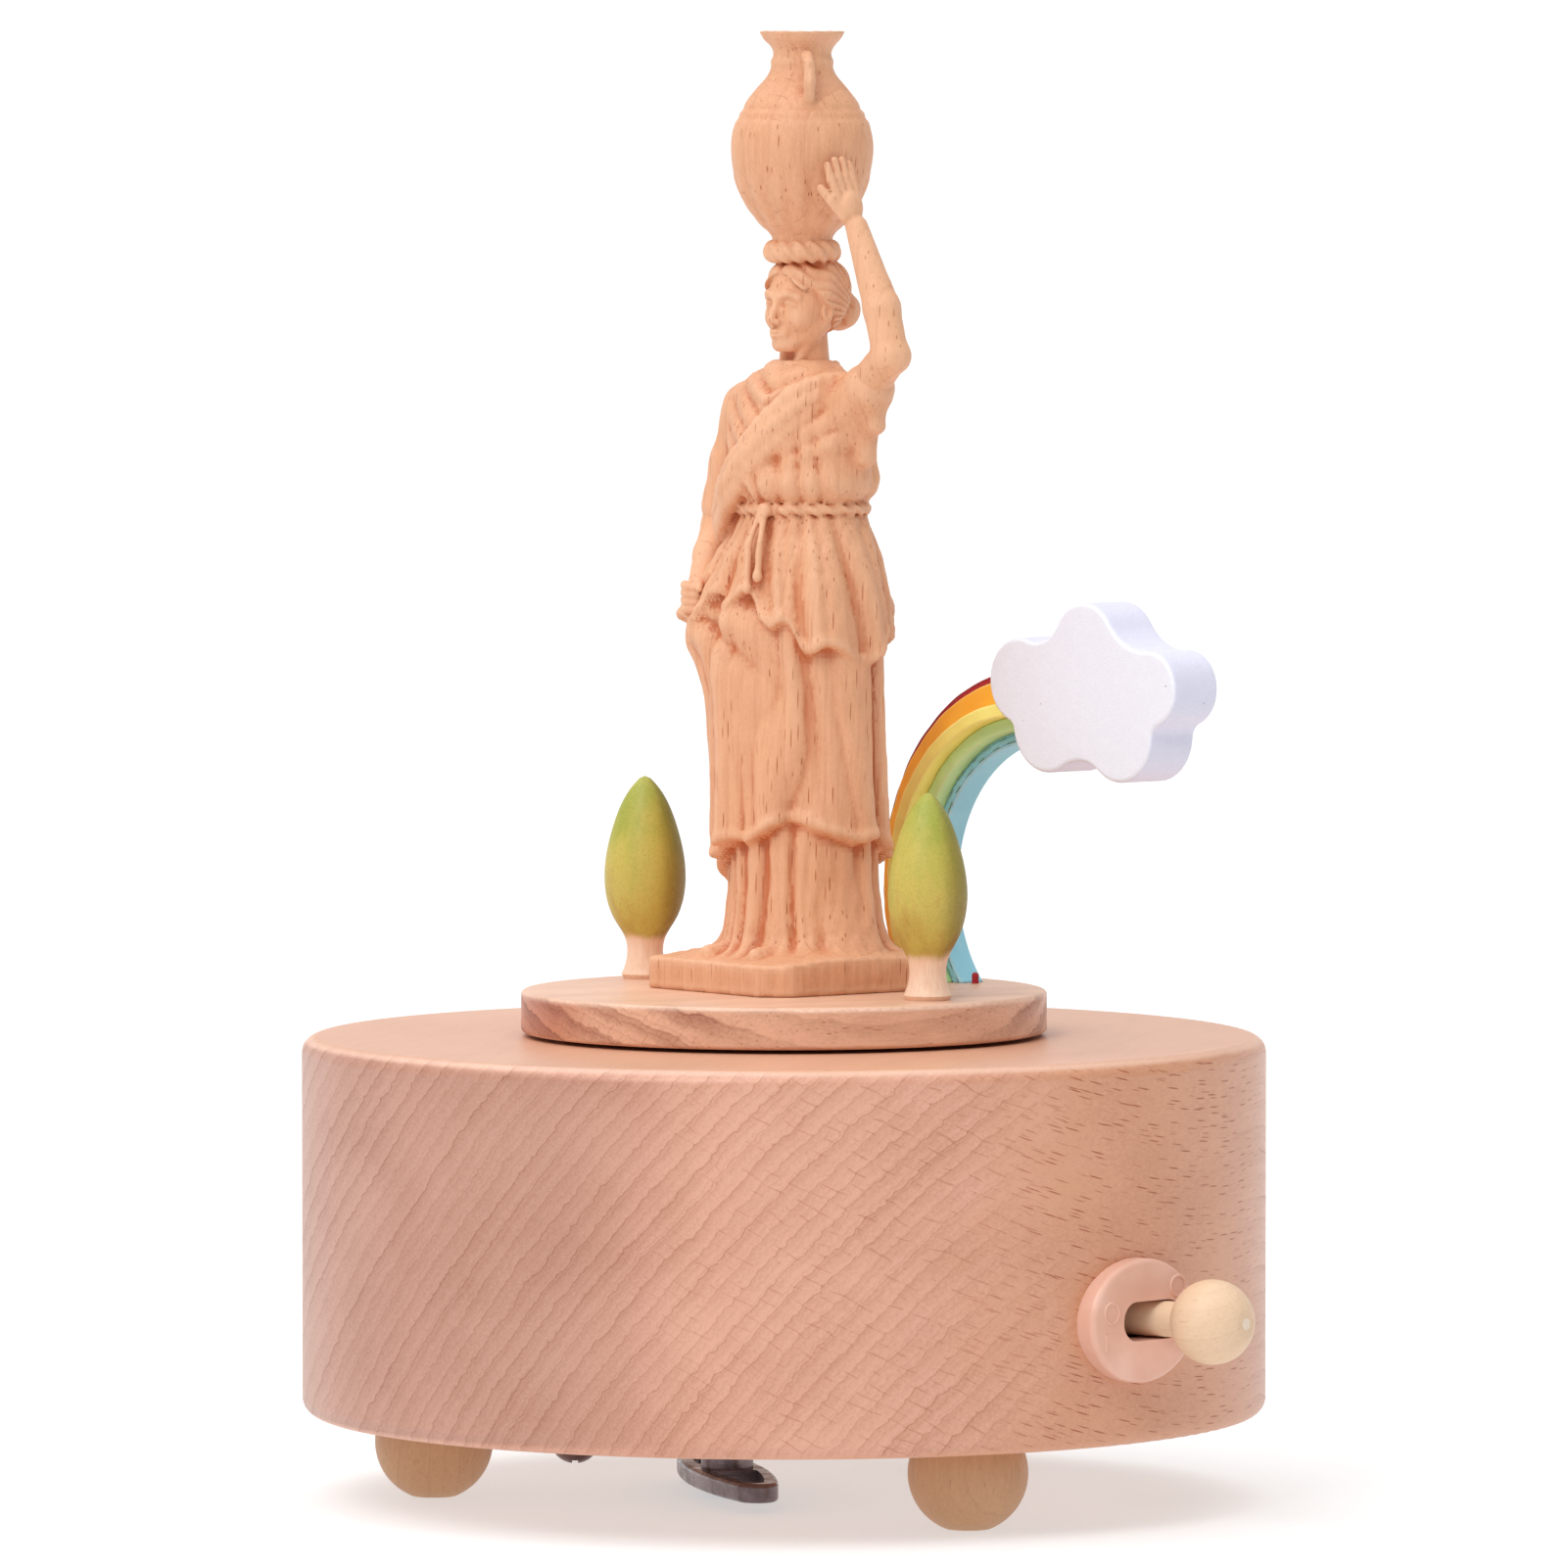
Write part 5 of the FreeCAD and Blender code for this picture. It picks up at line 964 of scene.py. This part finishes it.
def head_field(step):
    field = Field((-6, -7, 62.5), (6, 7.8, 83.2), step)
    field.limb([(0, 0.8, 62.8), (0, 0.7, 71.5)], [3.0, 2.35], 0.7)
    field.egg((0, -0.6, 64.0), (5.2, 3.9, 2.6), 1.2)
    # skull, face, chin
    field.egg((0, 0.75, 75.9), (3.8, 4.6, 4.35), 0.5)
    field.egg((0, -0.85, 73.9), (3.4, 3.2, 4.1), 1.0)
    field.egg((0, -3.1, 70.25), (1.1, 0.85, 0.8), 0.9)
    for field.side in (-1, 1):
        field.limb([(3.0, 0.7, 72.4), (1.0, -2.6, 70.2)], [0.75, 0.75], 1.0)
        field.egg((2.1, -2.35, 73.2), (0.9, 0.9, 0.95), 1.1)
        field.limb([(2.2, -0.4, 71.0), (0.5, -3.0, 66.0)], [0.5, 0.4], 0.7)
        # brow, socket, eye and upper lid
        field.limb([(0.55, -3.9, 75.6), (1.6, -3.75, 75.95), (2.75, -2.9, 75.5)],
                   [0.28, 0.3, 0.22], 0.6)
        field.egg((1.6, -4.35, 74.75), (1.15, 0.95, 0.68), 0.4, cut=True)
        field.egg((1.55, -3.1, 74.62), (0.85, 0.66, 0.52), 0.15)
        field.limb([(0.75, -3.45, 74.65), (1.2, -3.68, 74.98), (1.8, -3.66, 75.0),
                    (2.4, -3.2, 74.65)], [0.14, 0.2, 0.2, 0.14], 0.15)
        field.limb([(0.85, -3.4, 74.4), (1.55, -3.6, 74.18), (2.3, -3.2, 74.4)],
                   [0.12, 0.15, 0.12], 0.15)
    # nose
    field.limb([(0, -3.75, 75.5), (0, -4.4, 73.9), (0, -4.8, 72.95)], [0.34, 0.38, 0.46], 0.4)
    for field.side in (-1, 1):
        field.egg((0.48, -4.2, 72.75), (0.36, 0.5, 0.34), 0.3)
    # mouth
    field.egg((0, -3.5, 71.4), (1.35, 0.85, 0.95), 0.5)
    for field.side in (-1, 1):
        field.limb([(1.05, -3.85, 71.45), (0.35, -4.35, 71.7), (0, -4.35, 71.62)], [0.1, 0.23, 0.22], 0.15)
        field.limb([(0.85, -3.95, 71.3), (0, -4.35, 71.08)], [0.12, 0.29], 0.15)
        field.limb([(1.1, -4.05, 71.4), (0, -4.66, 71.36)], [0.08, 0.1], 0.12, cut=True)
        field.egg((3.75, 0.55, 73.8), (0.45, 0.8, 1.15), 0.25)
        field.egg((4.1, 0.3, 73.9), (0.25, 0.42, 0.7), 0.2, cut=True)
    field.egg((0, -4.45, 70.75), (0.7, 0.35, 0.22), 0.3, cut=True)

    def hair(x, y, z):
        """Waved hair, parted in the middle and drawn back to the bun."""
        k = np.sqrt((x / 4.3) ** 2 + ((y - 0.95) / 4.95) ** 2 + ((z - 75.9) / 4.8) ** 2)
        strand = 20 * np.arctan2(z - 73.6, 6.4 - y) + 0.9 * np.sin(0.9 * y + 0.8 * np.abs(x))
        wave = 0.3 * pleat(strand) + 0.12 * np.sin(1.6 * (y - 0.4 * z))
        parting = 0.45 * bell(x, 0, 0.3) * ease(-y, -1.5, 1.0)
        distance = (k - 1) * 4.5 - wave + parting
        line = 74.6 + 3.7 * ease(-y, -0.4, 2.9) - 0.2 * x * x * ease(-y, 1.0, 3.0) - 3.1 * ease(y, 0.6, 2.6)
        return np.maximum(distance, (line - z) * 0.8)

    field.shape(hair, (-5.2, -5.2, 70.5), (5.2, 6.8, 81.6), 0.3)

    def bun(x, y, z):
        k = np.sqrt((x / 2.6) ** 2 + ((y - 5.7) / 1.9) ** 2 + ((z - 74.0) / 2.2) ** 2)
        coil = np.arctan2(z - 74.0, x) * 2 + np.sqrt(x * x + (z - 74.0) ** 2) * 4.2
        return (k - 1) * 2.1 - 0.22 * pleat(coil)

    field.shape(bun, (-3.2, 3, 71.3), (3.2, 7.8, 76.8), 0.3)

    def ring_pad(x, y, z):
        """Cloth ring that the jar stands on."""
        turn, reach = round_axis(x, y)
        return twisted(turn, reach - 3.15, z - 80.75, 1.22, 0.16, 3, 14)

    field.shape(ring_pad, (-4.6, -4.6, 79.2), (4.6, 4.6, 82.3), 0.15)
    field.egg((0, 0, 80.5), (3.3, 3.3, 1.3), 0.2)
    return field


JAR_LOW, JAR_HIGH = 81.2, 105.8


def jar_field(step):
    field = Field((-10.4, -9.6, JAR_LOW - 1), (10.4, 9.6, JAR_HIGH + 2 * step), step)
    height = JAR_HIGH - JAR_LOW

    def jar(x, y, z):
        turn, reach = round_axis(x, y)
        share = (z - JAR_LOW) / height
        radius = curve(share, [(-0.05, 3.2), (0.0, 3.5), (0.05, 3.5), (0.1, 4.6), (0.22, 6.7), (0.36, 7.85),
                               (0.47, 8.1), (0.6, 7.4), (0.72, 5.5), (0.8, 3.9), (0.86, 3.35), (0.92, 3.5),
                               (0.97, 4.5), (1.0, 4.95)])
        radius = radius - 0.22 * bell(share, 0.6, 0.012) - 0.22 * bell(share, 0.64, 0.012)
        radius = radius + 0.28 * bell(share, 0.86, 0.018)
        radius = radius + (0.3 * pleat(turn * 8) - 0.15) * ease(share, 0.07, 0.12) * ease(-share, -0.36, -0.3)
        outside = (reach - radius) * 0.8
        mouth = reach - curve(share, [(0.8, 2.2), (0.9, 2.4), (1.0, 3.9)])
        hollow = np.maximum(mouth, 0.84 - share)
        return np.maximum(np.maximum(outside, -hollow), np.maximum(z - JAR_HIGH, JAR_LOW - z))

    field.shape(jar, (-8.6, -8.6, JAR_LOW), (8.6, 8.6, JAR_HIGH), 0.05)
    for side in (-1, 1):
        path = [(side * 6.4, 0, 98.2), (side * 7.1, 0, 100.0), (side * 6.3, 0, 102.0), (side * 4.4, 0, 102.9),
                (side * 3.2, 0, 102.8)]
        turned = [rotated(x, y, -35) + (z,) for x, y, z in path]
        field.limb(turned, [0.72, 0.66, 0.66, 0.66, 0.6], 0.35)
    return field


def raised_arm_field(step):
    field = Field((6.2, -5.6, 62), (20.2, 3.6, 94), step)
    field.limb([(12.0, -0.6, 65.8), (16.4, -1.4, 69.2)], [2.35, 2.1], 0.6)
    field.egg((16.7, -1.0, 69.0), (2.0, 1.8, 1.9), 0.6)
    field.limb([(16.4, -1.4, 69.3), (15.0, -1.4, 74.4), (11.0, -1.6, 83.6)], [2.05, 2.1, 1.3], 0.5)
    # hand along the jar, fingers up
    field.egg((10.2, -1.9, 85.7), (1.15, 1.75, 2.0), 0.5)
    fingers = [(-3.35, 0.0), (-2.4, 0.55), (-1.45, 0.6), (-0.55, 0.15)]
    for y, more in fingers:
        field.limb([(9.9, y * 0.95 - 0.1, 86.6), (9.35, y * 1.12 - 0.25, 88.9 + more * 0.5),
                    (8.85, y * 1.15 - 0.3, 90.6 + more)], [0.6, 0.52, 0.42], 0.14)
    field.limb([(10.4, -3.0, 84.9), (9.6, -4.3, 86.6), (8.6, -4.9, 88.0)], [0.72, 0.56, 0.46], 0.2)
    return field


def lowered_arm_field(step):
    field = Field((-15.6, -11.2, 36.5), (-5.6, 2.4, 54), step)
    field.limb([(-12.4, -0.8, 52.0), (-12.9, -1.1, 49.2)], [2.2, 2.1], 0.5)
    field.limb([(-12.9, -1.1, 49.2), (-12.0, -3.4, 45.8), (-10.7, -6.2, 42.6)], [2.05, 1.95, 1.3], 0.5)
    field.egg((-10.2, -7.3, 41.6), (1.5, 1.35, 1.55), 0.5)
    for k in range(4):
        z = 42.4 - 0.85 * k
        field.limb([(-10.9, -8.2, z + 0.2), (-9.7, -9.0, z), (-8.6, -8.3, z - 0.15)],
                   [0.55, 0.52, 0.45], 0.12)
    field.limb([(-9.9, -7.6, 42.9), (-8.7, -8.0, 42.9), (-8.0, -8.6, 42.2)], [0.6, 0.5, 0.42], 0.15)
    return field


# Gouge marks, longer up and down than across
GOUGE = (1.5, 1.5, 3.6)
HASH_PRIMES = (73856093, 19349663, 83492791)
HASH_STEPS = (0.013, 0.0217, 0.0339)
HASH_SCALE = 43758.5453


def to_gouge(points):
    """Distance to the nearest of a jittered lattice of points, counted in gouge marks."""
    p = points / np.array(GOUGE)
    base = np.floor(p).astype(np.int64)
    nearest = np.full(len(p), FAR)
    for offset in product((-1, 0, 1), repeat=3):
        cell = base + offset
        mixed = cell @ np.array(HASH_PRIMES) + 1
        jitter = np.stack([np.modf(np.abs(np.sin(mixed * f) * HASH_SCALE))[0] for f in HASH_STEPS], axis=1)
        nearest = np.minimum(nearest, np.linalg.norm(cell + 0.2 + 0.6 * jitter - p, axis=1))
    return nearest


def normals_of(points, quads):
    a, b, c, d = (points[quads[:, i]] for i in range(4))
    face = np.cross(c - a, d - b)
    total = np.zeros_like(points)
    for i in range(4):
        np.add.at(total, quads[:, i], face)
    return total / np.maximum(np.linalg.norm(total, axis=1, keepdims=True), 1e-9)


def chiselled(points, quads, depth, low):
    """Presses shallow gouge marks into the surface, but not into the flat face at low."""
    x, y, z = points.T
    near = np.clip(to_gouge(points), 0, 0.8)
    push = depth * (near ** 2 / 0.4 - 0.9) + 0.25 * depth * np.sin(x * 3.1 + y * 2.3 + np.sin(z * 0.7) * 2)
    if low is not None:
        push = push * ease(z, low, low + 0.5)
    return points + normals_of(points, quads) * push[:, None]


def mesh_piece(name, points, faces, body, slot, *replaced):
    """Smooth-shaded piece from points in the part's frame, in millimetres."""
    mesh = bpy.data.meshes.new(name)
    mesh.from_pydata((np.asarray(points) * MM).tolist(), [], np.asarray(faces).tolist())
    mesh.shade_smooth()
    piece = new_object(name, mesh)
    assign(piece, finishes[slot])
    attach(piece, body)
    if replaced:
        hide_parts(*replaced)
    return piece


def point_values(piece, name, values):
    """Keeps a value for each of the piece's points, for its finish."""
    piece.data.attributes.new(name, "FLOAT", "POINT").data.foreach_set("value", values)


def in_part_frame(points):
    """Points of the scene's own axes, turned as the disc stands at rest."""
    x, y = rotated(points[:, 0], points[:, 1], SCENE_DEG)
    return np.stack([x, y, points[:, 2]], axis=1)


FIGURE_AXIS = (-0.8, 3.5)

# Each piece's name and field, the step of its grid, the depth of its gouge marks and its flat face
FIGURE_PIECES = [("figure_body", body_field, 0.3, 0.10, -3.3),
                 ("figure_head", head_field, 0.14, 0.02, None),
                 ("figure_jar", jar_field, 0.3, 0.06, None),
                 ("figure_raised_arm", raised_arm_field, 0.2, 0.03, None),
                 ("figure_lowered_arm", lowered_arm_field, 0.2, 0.03, None)]


def carved_figure():
    """The figure in five pieces, each with a grid as fine as its smallest forms."""
    for name, make, step, depth, low in FIGURE_PIECES:
        field = make(step)
        points, quads = field.surface()
        hollows = field.hollows(points)
        points = chiselled(points, quads, depth, low)
        points = points + (*FIGURE_AXIS, DISC_TOP + SLAB["h"])
        piece = mesh_piece(name, in_part_frame(points), quads, "turntable", "beech_figure", "carved_figure")
        point_values(piece, "hollow", hollows)


# The rainbow, in the scene's own axes
RAINBOW_X = 19.0
RAINBOW_BACK_Y = 25.5
RAINBOW_RISE = 11.2
RAINBOW_END_DEG = 78.0
RAINBOW_R = 25.4
RAINBOW_STEPS = 140
CORNER_STEPS = 6
BAND_SOFT = 0.28

# Width and depth of each band, from the outside in
BANDS = {"red": (0.95, 4.35), "orange": (2.8, 5.25), "yellow": (1.6, 7.2), "green": (1.6, 5.25),
         "blue": (1.35, 3.5)}


def band_profile(outer, inner, depth):
    """Points (radius, y, edge) round a band's section, clockwise, with soft corners and edge 1 at them."""
    corners = [(outer, -depth, 1), (inner, -depth, 1), (inner, 0, 0.4), (outer, 0, 0.4)]
    points = []
    for i, (radius, y, edge) in enumerate(corners):
        in_r = radius - BAND_SOFT if radius == outer else radius + BAND_SOFT
        in_y = y + BAND_SOFT if y < 0 else y - BAND_SOFT
        for k in range(CORNER_STEPS + 1):
            turn = math.radians(90 * (k / CORNER_STEPS + i))
            points.append((in_r + BAND_SOFT * math.cos(turn), in_y - BAND_SOFT * math.sin(turn),
                           edge * math.sin(math.pi * k / CORNER_STEPS)))
        after = corners[(i + 1) % 4]
        for share in (0.2, 0.4, 0.6, 0.8):
            points.append((radius + (after[0] - radius) * share, y + (after[1] - y) * share, 0.0))
    return points


def rainbow():
    """Five painted arcs, swept from the disc up into the cloud, with soft and slightly uneven edges."""
    outer = RAINBOW_R
    for index, (colour, (width, depth)) in enumerate(BANDS.items()):
        profile = band_profile(outer, outer - width, depth)
        outer -= width
        points, edges = [], []
        for step in range(RAINBOW_STEPS + 1):
            for radius, y, edge in profile:
                foot = 180 + math.degrees(math.asin(RAINBOW_RISE / radius))
                turn = math.radians(foot + (RAINBOW_END_DEG - foot) * step / RAINBOW_STEPS)
                drift = 0.05 * math.sin(17 * turn + 5 * index) + 0.03 * math.sin(41 * turn + 2 * index)
                uneven = drift * (y < -0.5 * depth)
                points.append((RAINBOW_X + radius * math.cos(turn), RAINBOW_BACK_Y + y + uneven,
                               DISC_TOP + RAINBOW_RISE + radius * math.sin(turn)))
                edges.append(edge)
        ring = len(profile)
        pairs = [(b, (b + 1) % ring) for b in range(ring)]
        faces = [(low + a, low + ring + a, low + ring + b, low + b)
                 for low in range(0, RAINBOW_STEPS * ring, ring) for a, b in pairs]
        slot = "paint_" + colour
        piece = mesh_piece("band_" + colour, in_part_frame(np.array(points)), faces, "turntable", slot,
                           "rainbow_" + colour)
        capped = bmesh.new()
        capped.from_mesh(piece.data)
        bmesh.ops.holes_fill(capped, edges=[edge for edge in capped.edges if edge.is_boundary])
        bmesh.ops.recalc_face_normals(capped, faces=capped.faces)
        capped.to_mesh(piece.data)
        capped.free()
        for face in piece.data.polygons:
            face.use_smooth = len(face.vertices) == 4
        point_values(piece, "edge", edges)


scene.view_settings.view_transform = "Standard"
camera()
sky()
lamp()
floor()
finishes, finish_of = node_finishes()
for name, obj in nodes.items():
    assign(obj, finish_of[name])

carved_figure()
rainbow()
plate_marks()
